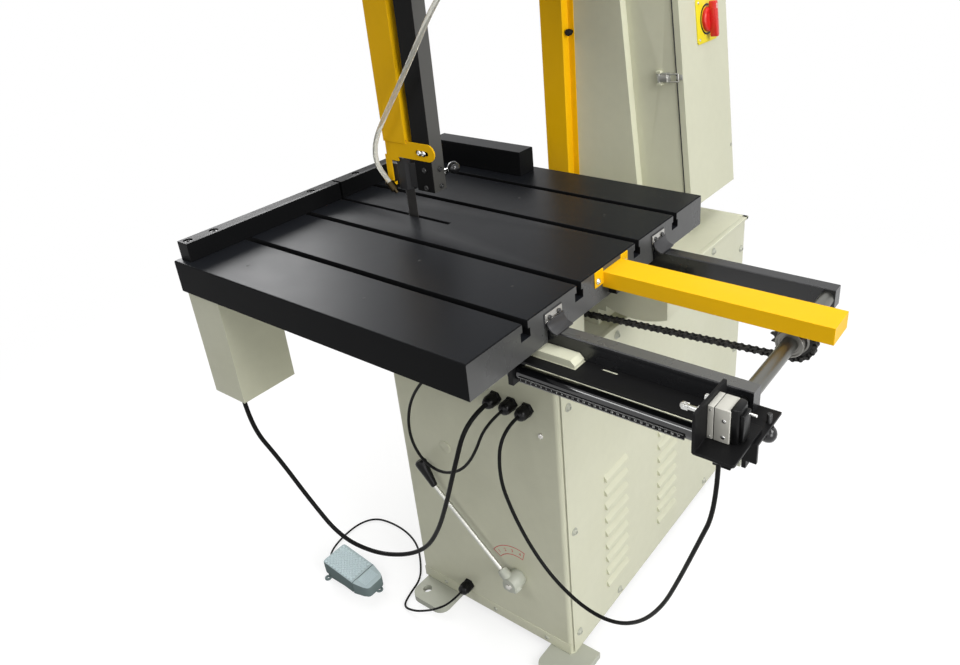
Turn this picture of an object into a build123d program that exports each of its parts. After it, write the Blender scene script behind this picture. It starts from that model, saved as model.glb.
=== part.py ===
from build123d import *
import math
import os

# Vertical metal-cutting band saw with a sliding table. Millimetres, +Z up, floor at Z = 0.
# The origin is the centre of the floor anchor holes. The operator stands at -X and faces +X.
# The table slides along X, the wheels turn in the YZ plane, the column stands at +Y.

# Driving dimensions
anchor_spacing_x = 422.0
anchor_spacing_y = 904.0
anchor_hole_diameter = 22.0
foot_thickness = 16.0

base_left = -251.0
base_right = 193.0
base_front = -419.0
base_back = 419.0
base_top = 753.0
base_wall = 4.0
base_bend_radius = 14.0

table_length = 720.0
table_depth = 750.0
table_thickness = 64.0
table_top = 940.0
table_left = -479.0
table_front = -697.0
slot_neck_width = 14.0
slot_neck_depth = 15.0
slot_wide_width = 24.0
slot_total_depth = 30.0

wheel_diameter = 520.0
wheel_width = 29.2
wheel_centre_y = -50.0
lower_wheel_z = 460.0
throat_height = 500.0
head_height = 600.0
blade_width = 27.0
blade_thickness = 0.9
blade_centre_x = -226.5

rail_width = 26.0
rail_height = 36.0
rail_offset = 174.7
rail_left = -430.0
rail_right = 585.0

post_width = 45.0
post_depth = 35.0
post_left = -186.0
post_length = 693.0

chain_pitch = 12.7
idler_teeth = 17
drive_teeth = 12
bar_diameter = 26.0

control_cable_diameter = 9.5
sensor_cable_diameter = 6.0
switch_cable_diameter = 7.0
pedal_cable_diameter = 5.0
gland_length = 32.0
hose_diameter = 10.0

# Clearances
running_gap = 0.05
face_gap = 0.3
slide_gap = 0.5
cable_gap = 0.3

# Derived positions shared by the pieces that meet
table_right = table_left + table_length
table_back = table_front + table_depth
table_bottom = table_top - table_thickness
blade_inner_radius = wheel_diameter / 2 + face_gap
blade_outer_radius = blade_inner_radius + blade_thickness
blade_line_y = wheel_centre_y - (blade_inner_radius + blade_outer_radius) / 2
return_line_y = wheel_centre_y + (blade_inner_radius + blade_outer_radius) / 2
blade_left = blade_centre_x - blade_width / 2
blade_right = blade_centre_x + blade_width / 2
head_bottom = table_top + throat_height
head_top = head_bottom + head_height
upper_wheel_z = head_bottom + 45 + wheel_diameter / 2
rail_top = table_bottom + 20
rail_bottom = rail_top - rail_height
front_rail_y = blade_line_y - rail_offset
rear_rail_y = blade_line_y + rail_offset
post_right = post_left + post_width
post_front = blade_line_y - post_depth / 2
post_back = blade_line_y + post_depth / 2
post_bottom = table_top + 67
post_top = post_bottom + post_length


def block(x0, x1, y0, y1, z0, z1):
    """A box between two corners."""
    centre = Pos((x0 + x1) / 2, (y0 + y1) / 2, (z0 + z1) / 2)
    return centre * Box(x1 - x0, y1 - y0, z1 - z0)


def rod_x(x0, x1, y, z, radius):
    """A round bar along X."""
    return Pos((x0 + x1) / 2, y, z) * Rot(0, 90, 0) * Cylinder(radius, x1 - x0)


def rod_y(y0, y1, x, z, radius):
    """A round bar along Y."""
    return Pos(x, (y0 + y1) / 2, z) * Rot(90, 0, 0) * Cylinder(radius, y1 - y0)


def rod_z(z0, z1, x, y, radius):
    """A round bar along Z."""
    return Pos(x, y, (z0 + z1) / 2) * Cylinder(radius, z1 - z0)


def prism_x(points, x0, x1):
    """A polygon of (y, z) points carried along X."""
    face = Plane.YZ.offset(x0) * make_face(Polyline(*points, close=True))
    return extrude(face, x1 - x0)


def prism_y(points, y0, y1):
    """A polygon of (x, z) points carried along Y."""
    face = Plane.XZ.offset(-y0) * make_face(Polyline(*points, close=True))
    return extrude(face, -(y1 - y0))


def shell(x0, x1, y0, y1, z0, z1, wall):
    """A closed box with an even wall."""
    inner = block(x0 + wall, x1 - wall, y0 + wall, y1 - wall, z0 + wall, z1 - wall)
    return block(x0, x1, y0, y1, z0, z1) - inner


def between(start, end, radius):
    """A round bar between two points."""
    a = Vector(*start)
    b = Vector(*end)
    plane = Plane(origin=(a + b) / 2, z_dir=(b - a).normalized())
    return plane * Cylinder(radius, (b - a).length)


def gland(tip_bore):
    """A cable gland that stands on Z = 0 and points along +Z."""
    foot = extrude(RegularPolygon(15, 6), 6)
    nut = Pos(0, 0, 14) * Cylinder(13, 16)
    dome = Pos(0, 0, 22 + (gland_length - 22) / 2) * Cone(13, tip_bore + 3, gland_length - 22)
    bore = Pos(0, 0, gland_length - 7) * Cylinder(tip_bore, 14.2)
    return foot + nut + dome - bore


def cable(points, diameter, name):
    """A round cable of straight runs joined by tangent arcs."""
    vectors = [Vector(*p) for p in points]
    radii = []
    for before, corner, after in zip(vectors, vectors[1:], vectors[2:]):
        run_in = corner - before
        run_out = after - corner
        turn = math.radians(run_in.get_angle(run_out))
        radii.append(0.45 * min(run_in.length, run_out.length) / math.tan(turn / 2))
    path = FilletPolyline(*points, radius=radii)
    start = Plane(origin=vectors[0], z_dir=(vectors[1] - vectors[0]).normalized())
    tube = sweep(start * Circle(diameter / 2), path=path)
    section = math.pi * diameter ** 2 / 4
    print(name, "length", round(path.length), "volume ratio", round(tube.volume / section / path.length, 3))
    print("   radii", [round(r) for r in radii])
    return tube


def save(name, *shapes):
    """Write one node, a solid or a group of separate solids."""
    solids = []
    for shape in shapes:
        solids.extend(shape.solids())
    body = solids[0] if len(solids) == 1 else Compound(children=solids)
    export_step(body, f"parts/{name}.step")
    print(name, len(solids), round(sum(s.volume for s in solids) / 1000, 1))


def hinge_pin(axis_x, axis_y, low, wall_x):
    """The fixed half of a door hinge: a lower barrel on a leaf, and the pin that stands up from it."""
    half = rod_z(low - 30, low - face_gap, axis_x, axis_y, 5)
    half += block(axis_x - 1, wall_x + 1, axis_y - 3, axis_y + 9, low - 30, low - face_gap)
    half += rod_z(low - 30, low + 50, axis_x, axis_y, 2.5 - running_gap)
    return half


os.makedirs("parts", exist_ok=True)

# Base cabinet: a folded shell with risers and carriers for the rails
floor_plate_top = foot_thickness + 8
base_height = base_top - foot_thickness
base_centre = Pos(
    (base_left + base_right) / 2, (base_front + base_back) / 2, foot_thickness + base_height / 2
)
outer = base_centre * Box(base_right - base_left, base_back - base_front, base_height)
outer = fillet(outer.edges().filter_by(Axis.Z), base_bend_radius)
inside = block(
    base_left + base_wall,
    base_right - base_wall,
    base_front + base_wall,
    base_back - base_wall,
    floor_plate_top,
    base_top - base_wall,
)
inside = fillet(inside.edges().filter_by(Axis.Z), base_bend_radius - base_wall)
base = outer - inside
door_opening_radius = wheel_diameter / 2 + 14
base -= rod_x(base_left - 5, base_left + 10, wheel_centre_y, lower_wheel_z, door_opening_radius)
panel_rim = 34.0
base -= block(
    base_right - 10,
    base_right + 5,
    base_front + panel_rim,
    base_back - panel_rim,
    foot_thickness + 44,
    base_top - panel_rim,
)
for run_y in (blade_line_y, return_line_y):
    base -= block(blade_left - 6, blade_right + 10, run_y - 10, run_y + 10, base_top - 10, base_top + 5)
lever_x = 58.0
lever_z = 182.0
lever_shaft_radius = 10.0
base -= rod_y(base_front - 5, base_front + 10, lever_x, lever_z, lever_shaft_radius + slide_gap)
carrier_thickness = 10.0
carrier_right = 309.0
carrier_bottom = rail_bottom - carrier_thickness
base += block(-190, carrier_right, -528, front_rail_y + 20, carrier_bottom, rail_bottom)
base += block(-190, base_right, rear_rail_y - 24, rear_rail_y + 26, carrier_bottom, rail_bottom)
step_back = front_rail_y - rail_width / 2 - 1
carrier_step = block(150, carrier_right - 1, -527, step_back, rail_bottom - 1, table_bottom - 3)
base += chamfer(carrier_step.edges().filter_by(Axis.Y).sort_by(lambda e: e.center().X + e.center().Z)[-1], 8)
front_riser = [
    (-325, base_top), (base_front, base_top), (-522, 812), (-522, carrier_bottom), (-325, carrier_bottom),
]
for riser_left in (-190, base_right - 40):
    base += prism_x(front_riser, riser_left, riser_left + 40)
    base += block(
        riser_left, riser_left + 40, rear_rail_y - 28, rear_rail_y + 30, base_top, carrier_bottom
    )
lower_axis_x = base_left - 6
lower_axis_y = 263.0
lower_door_low = 165.0
lower_door_high = 745.0
for pin_low in (lower_door_low + 80, lower_door_high - 190):
    base += hinge_pin(lower_axis_x, lower_axis_y, pin_low, base_left)
save("base_cabinet", base)

# Four foot pads with rounded outer corners and an anchor hole each
feet = []
for side_x in (-1, 1):
    for side_y in (-1, 1):
        pad = Pos(side_x * 186, side_y * 433, foot_thickness / 2) * Box(104, 106, foot_thickness)
        corner = pad.edges().filter_by(Axis.Z).sort_by(lambda e: side_y * e.center().Y)[-2:]
        pad = fillet(corner, 26)
        hole_x = side_x * anchor_spacing_x / 2
        hole_y = side_y * anchor_spacing_y / 2
        pad -= rod_z(-1, foot_thickness + 1, hole_x, hole_y, anchor_hole_diameter / 2)
        feet.append(pad)
save("base_feet", *feet)

# Right side panel with two columns of pressed louvres
panel_thickness = 2.0
panel_outer = base_right + panel_thickness
panel = block(base_right, panel_outer, base_front + 6, base_back - 6, floor_plate_top, base_top - 3)
louvre_count = 9
louvre_length = 90.0
louvre_pitch = 38.0
louvre_first_z = 100.0
for column_y in (-277, -40):
    for row in range(louvre_count):
        low = louvre_first_z + row * louvre_pitch
        lip = [
            (panel_outer - 0.5, low), (panel_outer + 8, low),
            (panel_outer + 7, low + 6), (panel_outer - 0.5, low + 16),
        ]
        panel += prism_y(lip, column_y, column_y + louvre_length)
        cut = [
            (base_right - 1, low - 1), (panel_outer + 6.3, low - 1),
            (panel_outer + 5.5, low + 5), (base_right - 1, low + 10),
        ]
        panel -= prism_y(cut, column_y + 1.5, column_y + louvre_length - 1.5)
save("side_panel", panel)

# Bolts of the panel, a screw on the front and the knobs of the return guard
guard_flange_y = 222.0
bolts = []
bolt_spots = [
    (-393, 665), (-393, 359), (-393, 69), (-222, 40), (-215, 730),
    (229, 732), (395, 673), (390, 378), (391, 69), (229, 40),
]
for spot_y, spot_z in bolt_spots:
    head = rod_x(panel_outer, panel_outer + 1.5, spot_y, spot_z, 9)
    head += rod_x(panel_outer, panel_outer + 6, spot_y, spot_z, 6.5)
    bolts.append(head)
bolts.append(rod_y(base_front - 5, base_front, 147, 597, 7))
for knob_z in (860, 1217):
    knob = rod_y(guard_flange_y - 18, guard_flange_y - 8, -178, knob_z, 8)
    knob += rod_y(guard_flange_y - 8, guard_flange_y, -178, knob_z, 5)
    bolts.append(knob)
save("frame_fasteners", *bolts)

# Column: a tapered welded box
column_slope = 0.0997
column_front = 224.0
column_back = 390.0
column_right_low = 5.0
column_right_high = column_right_low - column_slope * (head_bottom - base_top)
column_wall = 8.0
column_outline = [
    (base_left, base_top), (column_right_low, base_top),
    (column_right_high, head_bottom), (base_left, head_bottom),
]
column_hollow = [
    (base_left + column_wall, base_top + column_wall),
    (column_right_low - column_wall - 1, base_top + column_wall),
    (column_right_high - column_wall, head_bottom - column_wall),
    (base_left + column_wall, head_bottom - column_wall),
]
column = prism_y(column_outline, column_front, column_back)
column -= prism_y(column_hollow, column_front + column_wall, column_back - column_wall)
save("column", column)

# Upper wheel housing: open towards -X, with the post holder and the ways of the tension carriage
head_left = -275.0
head_right = -10.0
head_front = -390.0
head_back = 400.0
head_wall = 4.0
head_corner_radius = 80.0
head = block(head_left, head_right, head_front, head_back, head_bottom, head_top)
head = fillet(head.edges().filter_by(Axis.X).group_by(Axis.Z)[-1], head_corner_radius)
head_inside = block(
    head_left - 5,
    head_right - head_wall,
    head_front + head_wall,
    head_back - head_wall,
    head_bottom + head_wall,
    head_top - head_wall,
)
head -= fillet(head_inside.edges().filter_by(Axis.X).group_by(Axis.Z)[-1], head_corner_radius - head_wall)
holder_height = 116.0
wheel_axis_z = head_bottom + 70
head += block(-195, -60, head_front + 2, -255, head_bottom + 2, head_bottom + holder_height)
head -= block(-264, post_left - 9, post_front - 20, post_back + 6, head_bottom - 5, head_bottom + 10)
head -= block(
    post_left - slide_gap,
    post_right + slide_gap,
    post_front - slide_gap,
    post_back + slide_gap,
    head_bottom - 5,
    head_bottom + holder_height + 5,
)
head -= block(-248, -200, return_line_y - 10, return_line_y + 10, head_bottom - 5, head_bottom + 10)
post_wheel_x = -100.0
head -= rod_y(head_front - 5, -320, post_wheel_x, wheel_axis_z, 7 + running_gap)
carriage_front = -95.0
carriage_back = -5.0
for way_front in (carriage_front - slide_gap - 16, carriage_back + slide_gap):
    head += block(
        -120, head_right - 2, way_front, way_front + 16, upper_wheel_z - 150, upper_wheel_z + 150
    )
screw_x = -100.0
screw_radius = 10.0
head += rod_z(head_bottom - 8, head_bottom + 24, screw_x, wheel_centre_y, 22)
head -= rod_z(head_bottom - 20, head_bottom + 40, screw_x, wheel_centre_y, screw_radius + running_gap)
upper_axis_x = head_left - 6
upper_axis_y = head_back - 8
upper_door_low = head_bottom + 2
upper_door_high = head_top - 2
head += block(
    head_left, head_left + 4, head_back - 22, head_back - 2, head_bottom + 2, head_top - head_corner_radius
)
for pin_low in (upper_door_low + 80, upper_door_high - 190):
    head += hinge_pin(upper_axis_x, upper_axis_y, pin_low, head_left)
save("upper_housing", head)

# Guard over the returning blade: a folded hat section on the column
guard_left = base_left + 1
guard_right = -188.0
guard_front = 198.0
guard_wall = 2.0
guard_low = base_top + 2
guard_high = head_bottom - 2
hat = block(guard_left, guard_right, guard_front, column_front, guard_low, guard_high)
hat -= block(
    guard_left + guard_wall,
    guard_right - guard_wall,
    guard_front + guard_wall,
    column_front + 5,
    guard_low - 5,
    guard_high + 5,
)
hat += block(guard_right - guard_wall, guard_right + 16, guard_flange_y, column_front, guard_low, guard_high)
save("return_guard", hat)

# Electrical cabinet on the sloping face of the column
tilt_degrees = math.degrees(math.atan(column_slope))
cabinet_place = Pos(column_right_low, 0, base_top) * Rot(0, -tilt_degrees, 0)
cabinet_depth = 115.0
cabinet_front = 248.0
cabinet_back = 486.0
cabinet_low = 56.0
cabinet_high = 656.0
cabinet_wall = 2.0
box = block(0.2, cabinet_depth, cabinet_front, cabinet_back, cabinet_low, cabinet_high)
box -= block(
    cabinet_wall + 0.2,
    cabinet_depth + 5,
    cabinet_front + cabinet_wall,
    cabinet_back - cabinet_wall,
    cabinet_low + cabinet_wall,
    cabinet_high - cabinet_wall,
)
clasp_axis_x = 72.0
clasp_axis_y = cabinet_front - 6
clasp_middle = 364.0
for ear_low in (clasp_middle - 16, clasp_middle + 10.5):
    box += block(
        clasp_axis_x - 6, clasp_axis_x + 6, clasp_axis_y - 4, cabinet_front + 1, ear_low, ear_low + 5.5
    )
box += rod_z(clasp_middle - 13, clasp_middle + 13, clasp_axis_x, clasp_axis_y, 2)
door_axis_x = cabinet_depth + 8
door_axis_y = cabinet_back + 4
hinge_spots = (cabinet_low + 90, cabinet_high - 130)
for spot in hinge_spots:
    box += rod_z(spot - 20, spot - face_gap, door_axis_x, door_axis_y, 4)
    leaf_high = spot - face_gap
    box += block(
        cabinet_depth - 14, cabinet_depth, cabinet_back - 1, cabinet_back + 2.5, spot - 20, leaf_high
    )
    box += block(
        cabinet_depth - 1, door_axis_x, cabinet_back + 0.5, cabinet_back + 2.5, spot - 20, leaf_high
    )
    box += rod_z(spot - 20, spot + 30, door_axis_x, door_axis_y, 2)
save("electrical_cabinet", cabinet_place * box)

# Toggle clasp of the cabinet door
clasp = block(clasp_axis_x - 2, 127, clasp_axis_y - 3, clasp_axis_y, clasp_middle - 8, clasp_middle + 8)
clasp += rod_z(clasp_middle - 10, clasp_middle + 10, clasp_axis_x, clasp_axis_y, 4)
clasp -= rod_z(clasp_middle - 12, clasp_middle + 12, clasp_axis_x, clasp_axis_y, 2 + face_gap)
save("cabinet_clasp", cabinet_place * clasp)

# Cabinet door: a shallow tray hinged at its far edge
door_inner = cabinet_depth + slide_gap
door_outer = cabinet_depth + 15
door = block(door_inner, door_outer, cabinet_front - 2, cabinet_back, cabinet_low - 2, cabinet_high + 2)
door -= block(door_inner - 5, door_outer - 2, cabinet_front, cabinet_back - 2, cabinet_low, cabinet_high)
for spot in hinge_spots:
    door += rod_z(spot, spot + 20, door_axis_x, door_axis_y, 4)
    door += block(door_axis_x - 3, door_outer - 3, cabinet_back - 2, door_axis_y, spot, spot + 20)
    door -= rod_z(spot - 1, spot + 30, door_axis_x, door_axis_y, 2 + running_gap)
switch_y = 374.0
switch_level = 468.0
switch_bore = 9.0
door -= rod_x(door_outer - 10, door_outer + 5, switch_y, switch_level, switch_bore)
save("cabinet_door", cabinet_place * door)

# Plate and knob of the main switch on the door
plate_outer = door_outer + 3
plate = block(door_outer, plate_outer, switch_y - 50, switch_y + 50, switch_level - 50, switch_level + 50)
plate -= rod_x(door_outer - 5, plate_outer + 5, switch_y, switch_level, switch_bore)
save("switch_plate", cabinet_place * plate)
knob = rod_x(plate_outer + face_gap, plate_outer + 10, switch_y, switch_level, 27)
handle = block(
    plate_outer + 9, plate_outer + 26, switch_y - 7, switch_y + 7, switch_level - 40, switch_level + 40
)
knob += fillet(handle.edges().filter_by(Axis.X), 6)
knob += rod_x(door_outer - 12, plate_outer + 5, switch_y, switch_level, switch_bore - running_gap)
save("main_switch", cabinet_place * knob)

# Gearbox on the floor plate: the low part takes the gear lever, the high part carries the lower wheel
output_radius = 25.0
gearbox_front = -150.0
gearbox = block(-170, 110, gearbox_front, 50, floor_plate_top, 300)
gearbox = fillet(gearbox.edges().filter_by(Axis.Z), 12)
tower = block(-170, -30, -140, 40, 290, 560)
gearbox += fillet(tower.edges().filter_by(Axis.Z), 12)
gearbox -= block(-100, 98, -96, 38, 40, 286)
gearbox += rod_x(-182, -168, wheel_centre_y, lower_wheel_z, 70)
gearbox -= rod_x(-190, -110, wheel_centre_y, lower_wheel_z, output_radius + running_gap)
gearbox -= rod_y(gearbox_front - 5, gearbox_front + 42, lever_x, lever_z, lever_shaft_radius + running_gap)
save("gearbox", gearbox)

# Motor bolted to the rear face of the gearbox
motor_x = 10.0
motor_z = 190.0
motor = rod_y(50, 64, motor_x, motor_z, 100)
motor += rod_y(60, 300, motor_x, motor_z, 84)
motor += rod_y(296, 345, motor_x, motor_z, 78)
motor += block(motor_x - 45, motor_x + 45, 120, 220, motor_z + 70, motor_z + 118)
save("motor", motor)


def band_wheel(centre_z):
    """A cast band wheel without its shaft: rim, flange, web, hub and six lightening holes."""
    left = blade_left - 1.3
    right = left + wheel_width
    radius = wheel_diameter / 2
    wheel = rod_x(left, right, wheel_centre_y, centre_z, radius)
    wheel += rod_x(right, right + 5, wheel_centre_y, centre_z, radius + 5)
    wheel -= rod_x(left - 1, left + 10, wheel_centre_y, centre_z, radius - 24)
    wheel -= rod_x(right - 8, right + 10, wheel_centre_y, centre_z, radius - 24)
    wheel += rod_x(left + 2, right + 12, wheel_centre_y, centre_z, 52)
    for step in range(6):
        angle = math.radians(60 * step + 30)
        hole_y = wheel_centre_y + 145 * math.cos(angle)
        hole_z = centre_z + 145 * math.sin(angle)
        wheel -= rod_x(left - 5, right + 15, hole_y, hole_z, 42)
    return wheel


# Lower wheel with its stub shaft in the gearbox, upper wheel on the axle of the tension carriage
lower_wheel = band_wheel(lower_wheel_z)
lower_wheel += rod_x(-215, -118, wheel_centre_y, lower_wheel_z, output_radius)
save("lower_wheel", lower_wheel)
axle_radius = 20.0
upper_wheel = band_wheel(upper_wheel_z)
upper_wheel -= rod_x(-300, -150, wheel_centre_y, upper_wheel_z, axle_radius + running_gap)
save("upper_wheel", upper_wheel)

# Tension carriage with the wheel axle, and the screw with its handwheel
carriage = block(-188, -30, carriage_front, carriage_back, upper_wheel_z - 45, upper_wheel_z + 45)
carriage += rod_x(-238, -185, wheel_centre_y, upper_wheel_z, axle_radius)
carriage -= rod_z(upper_wheel_z - 50, upper_wheel_z + 30, screw_x, wheel_centre_y, screw_radius + face_gap)
save("tension_carriage", carriage)


def handwheel(radius, rim_radius, hub_radius, hub_length):
    """A handwheel about Z with its rim at Z = 0, three spokes and a handle."""
    wheel = Cylinder(radius + rim_radius, 2 * rim_radius) - Cylinder(radius - rim_radius, 3 * rim_radius)
    wheel = fillet(wheel.edges(), rim_radius * 0.8)
    wheel += Cylinder(hub_radius, hub_length)
    for step in range(3):
        spoke = Pos(radius / 2, 0, 0) * Rot(0, 90, 0) * Cylinder(rim_radius * 0.7, radius)
        wheel += Rot(0, 0, 120 * step) * spoke
    wheel += Pos(radius, 0, -rim_radius - 14) * Cylinder(rim_radius * 0.8, 40)
    return wheel


tension_wheel_z = head_bottom - 30
tension = Pos(screw_x, wheel_centre_y, tension_wheel_z) * handwheel(62, 8, 18, 34)
tension += rod_z(tension_wheel_z, upper_wheel_z, screw_x, wheel_centre_y, screw_radius - running_gap)
tension += rod_z(head_bottom - 14, head_bottom - 8 - face_gap, screw_x, wheel_centre_y, 18)
save("tension_handwheel", tension)
post_wheel_y = head_front - 34
post_wheel = Pos(post_wheel_x, post_wheel_y, wheel_axis_z) * Rot(-90, 0, 0) * handwheel(52, 7, 15, 30)
post_wheel += rod_y(post_wheel_y, -322, post_wheel_x, wheel_axis_z, 7)
save("post_handwheel", post_wheel)

# Blade: one closed band over both wheels


def stadium(radius, x0, x1):
    """A solid with the outline of a band over both wheels."""
    body = block(x0, x1, wheel_centre_y - radius, wheel_centre_y + radius, lower_wheel_z, upper_wheel_z)
    body += rod_x(x0, x1, wheel_centre_y, lower_wheel_z, radius)
    body += rod_x(x0, x1, wheel_centre_y, upper_wheel_z, radius)
    return body


blade = stadium(blade_outer_radius, blade_left, blade_right)
blade -= stadium(blade_inner_radius, blade_left - 1, blade_right + 1)
save("blade", blade)

# Lower blade guide on the base, under the table
guide_slot = 2.0
lower_guide = block(base_left + 1, -196, blade_line_y - 24, blade_line_y + 24, base_top, base_top + 78)
lower_guide -= block(
    base_left - 5,
    blade_right + 3,
    blade_line_y - guide_slot,
    blade_line_y + guide_slot,
    base_top - 5,
    base_top + 90,
)
save("lower_guide", lower_guide)

# Rails, with a counterbored hole for the screw of the cross shaft at the right end
shaft_x = 571.0
shaft_z = 878.0
shaft_radius = 12.5
rails = []
for rail_y, outward in ((front_rail_y, -1), (rear_rail_y, 1)):
    rail = block(
        rail_left, rail_right, rail_y - rail_width / 2, rail_y + rail_width / 2, rail_bottom, rail_top
    )
    rail = chamfer(rail.edges().filter_by(Axis.X).group_by(Axis.Z)[-1], 1.5)
    outer_y = rail_y + outward * rail_width / 2
    rail -= rod_y(rail_y - 20, rail_y + 20, shaft_x, shaft_z, 5.5)
    rail -= rod_y(outer_y - 10, outer_y + 10, shaft_x, shaft_z, 9)
    rails.append(rail)
save("guide_rails", *rails)

# Cross shaft between the rails, and the sprockets of the table feed
shaft_front = front_rail_y + rail_width / 2
shaft_back = rear_rail_y - rail_width / 2
save("cross_shaft", rod_y(shaft_front, shaft_back, shaft_x, shaft_z, shaft_radius))
chain_y = -304.0
chain_half = 6.0
idler_pitch_radius = chain_pitch / 2 / math.sin(math.pi / idler_teeth)
drive_pitch_radius = chain_pitch / 2 / math.sin(math.pi / drive_teeth)
idler = rod_y(chain_y - 4, chain_y + 4, shaft_x, shaft_z, idler_pitch_radius - 6.6)
idler += rod_y(chain_y - 20, chain_y - 4, shaft_x, shaft_z, 22)
idler -= rod_y(chain_y - 30, chain_y + 30, shaft_x, shaft_z, shaft_radius + running_gap)
save("idler_sprocket", idler)
drive_x = 121.0
drive_z = 838.0
drive_shaft_radius = 9.0
housing_front = -232.0
drive = rod_y(chain_y - 4, chain_y + 4, drive_x, drive_z, drive_pitch_radius - 6.6)
drive += rod_y(chain_y + 2, housing_front + 40, drive_x, drive_z, drive_shaft_radius)
save("drive_sprocket", drive)

# Housing of the feed gear motor, with a rounded lower edge where it stands clear of the base
housing_back = -172.0
housing_left = 81.0
housing_right = 314.0
housing_low = 788.0
housing_high = table_bottom - 10
bulge_radius = 165.0
bulge_x = 243.0
housing = block(housing_left, housing_right, housing_front, housing_back, housing_low, housing_high)
rounded = rod_y(housing_front - 5, housing_back + 5, bulge_x, housing_low + bulge_radius, bulge_radius)
rounded += block(
    housing_left - 5, bulge_x - 60, housing_front - 5, housing_back + 5, housing_low - 5, housing_high + 5
)
housing = housing & rounded
housing += block(housing_left, 165, housing_front, housing_back, base_top, housing_low + 20)
housing -= rod_y(housing_front - 5, housing_front + 45, drive_x, drive_z, drive_shaft_radius + running_gap)
save("feed_gear_housing", housing)


def chain_solid(pins):
    """A roller chain as link-shaped plates along a row of (x, z) pins."""
    outline = Sketch()
    parts = []
    for x, z in pins:
        parts.append(Pos(x, z) * Circle(5.8))
    for (xa, za), (xb, zb) in zip(pins, pins[1:]):
        angle = math.degrees(math.atan2(zb - za, xb - xa))
        length = math.hypot(xb - xa, zb - za)
        parts.append(Pos((xa + xb) / 2, (za + zb) / 2) * Rot(0, 0, angle) * Rectangle(length, 8.4))
    outline += parts
    placed = Plane.XZ.offset(-(chain_y - chain_half)) * outline
    return extrude(placed, -2 * chain_half)


# The lower run hangs from the idler to the drive sprocket; the upper run is pinned to the table
centre_gap = math.hypot(shaft_x - drive_x, shaft_z - drive_z)
lean = math.atan2(shaft_z - drive_z, shaft_x - drive_x)
spread = math.asin((idler_pitch_radius - drive_pitch_radius) / centre_gap)
leave_angle = lean - math.pi / 2 - spread
pins = []
wrap_start = math.radians(38)
idler_step = 2 * math.pi / idler_teeth
wrap_count = int((wrap_start - leave_angle) / idler_step)
for step in range(wrap_count, -1, -1):
    angle = leave_angle + step * idler_step
    pin_x = shaft_x + idler_pitch_radius * math.cos(angle)
    pin_z = shaft_z + idler_pitch_radius * math.sin(angle)
    pins.append((pin_x, pin_z))
end_x = drive_x + drive_pitch_radius * math.cos(leave_angle)
end_z = drive_z + drive_pitch_radius * math.sin(leave_angle)
run_length = math.hypot(pins[-1][0] - end_x, pins[-1][1] - end_z)
run_count = round(run_length / chain_pitch)
start_x, start_z = pins[-1]
for step in range(1, run_count + 1):
    share = step / run_count
    pins.append((start_x + (end_x - start_x) * share, start_z + (end_z - start_z) * share))
drive_step = 2 * math.pi / drive_teeth
for step in range(1, 6):
    angle = leave_angle - step * drive_step
    pin_x = drive_x + drive_pitch_radius * math.cos(angle)
    pin_z = drive_z + drive_pitch_radius * math.sin(angle)
    pins.append((pin_x, pin_z))
save("lower_chain", chain_solid(pins))
anchor_right = table_right + 17
upper_run_z = shaft_z + idler_pitch_radius
upper_count = int((shaft_x - anchor_right - 8) / chain_pitch)
upper_pins = [(anchor_right + 6 + step * chain_pitch, upper_run_z) for step in range(upper_count + 1)]
save("upper_chain", chain_solid(upper_pins))

# Table: T-slots along the travel, a blade slot, grooves over the rails and a lug for the chain
table = block(table_left, table_right, table_front, table_back, table_bottom, table_top)
table = chamfer(table.edges().group_by(Axis.Z)[-1], 1.5)
for offset in (-247, -97, 97, 247):
    line = blade_line_y + offset
    table -= block(
        table_left - 5,
        table_right + 5,
        line - slot_neck_width / 2,
        line + slot_neck_width / 2,
        table_top - slot_neck_depth - 1,
        table_top + 5,
    )
    table -= block(
        table_left - 5,
        table_right + 5,
        line - slot_wide_width / 2,
        line + slot_wide_width / 2,
        table_top - slot_total_depth,
        table_top - slot_neck_depth,
    )
blade_slot_width = 9.0
blade_slot_end = -129.0
table -= block(
    table_left - 5,
    blade_slot_end,
    blade_line_y - blade_slot_width / 2,
    blade_line_y + blade_slot_width / 2,
    table_bottom - 5,
    table_top + 5,
)
for rail_y in (front_rail_y, rear_rail_y):
    groove = rail_width / 2 + 3
    table -= block(
        table_left - 5,
        table_right + 5,
        rail_y - groove,
        rail_y + groove,
        table_bottom - 5,
        rail_top + face_gap,
    )
table += block(
    table_right - 1, anchor_right, chain_y - 12, chain_y + 12, table_bottom + 6, table_bottom + 46
)
save("table", table)

# Pusher bar across the table and fence bar at the back, with counterbored screw holes
bar_left = table_left + 9
bar_width = 30.0
bar_right = bar_left + bar_width
bar_height = 37.0
bar_front = table_front + 12
bar_back = table_back - 20
pusher = block(bar_left, bar_right, bar_front, bar_back, table_top, table_top + bar_height)
pusher -= block(
    bar_right - 26,
    bar_right + 5,
    blade_line_y - 3,
    blade_line_y + 3,
    table_top - 5,
    table_top + bar_height + 5,
)
hole_spots = (-672, -617, -379, -251, -60, 5)
screw_heads = []
hole_x = bar_left + bar_width / 2
for spot in hole_spots:
    pusher -= rod_z(table_top + bar_height - 11, table_top + bar_height + 1, hole_x, spot, 8.5)
    head_top_z = table_top + bar_height - 2
    screw = rod_z(table_top + bar_height - 11, head_top_z, hole_x, spot, 7.5)
    screw -= Pos(hole_x, spot, head_top_z - 4) * extrude(RegularPolygon(3.6, 6), 6)
    screw_heads.append(screw)
save("pusher_bar", pusher)
fence_height = 56.0
fence_front = -20.0
fence_back = 30.0
fence_left = bar_right + 2
fence_right = -169.0
fence = block(fence_left, fence_right, fence_front, fence_back, table_top, table_top + fence_height)
fence = chamfer(fence.edges().group_by(Axis.Z)[-1], 1)
save("fence_bar", fence)

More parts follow.
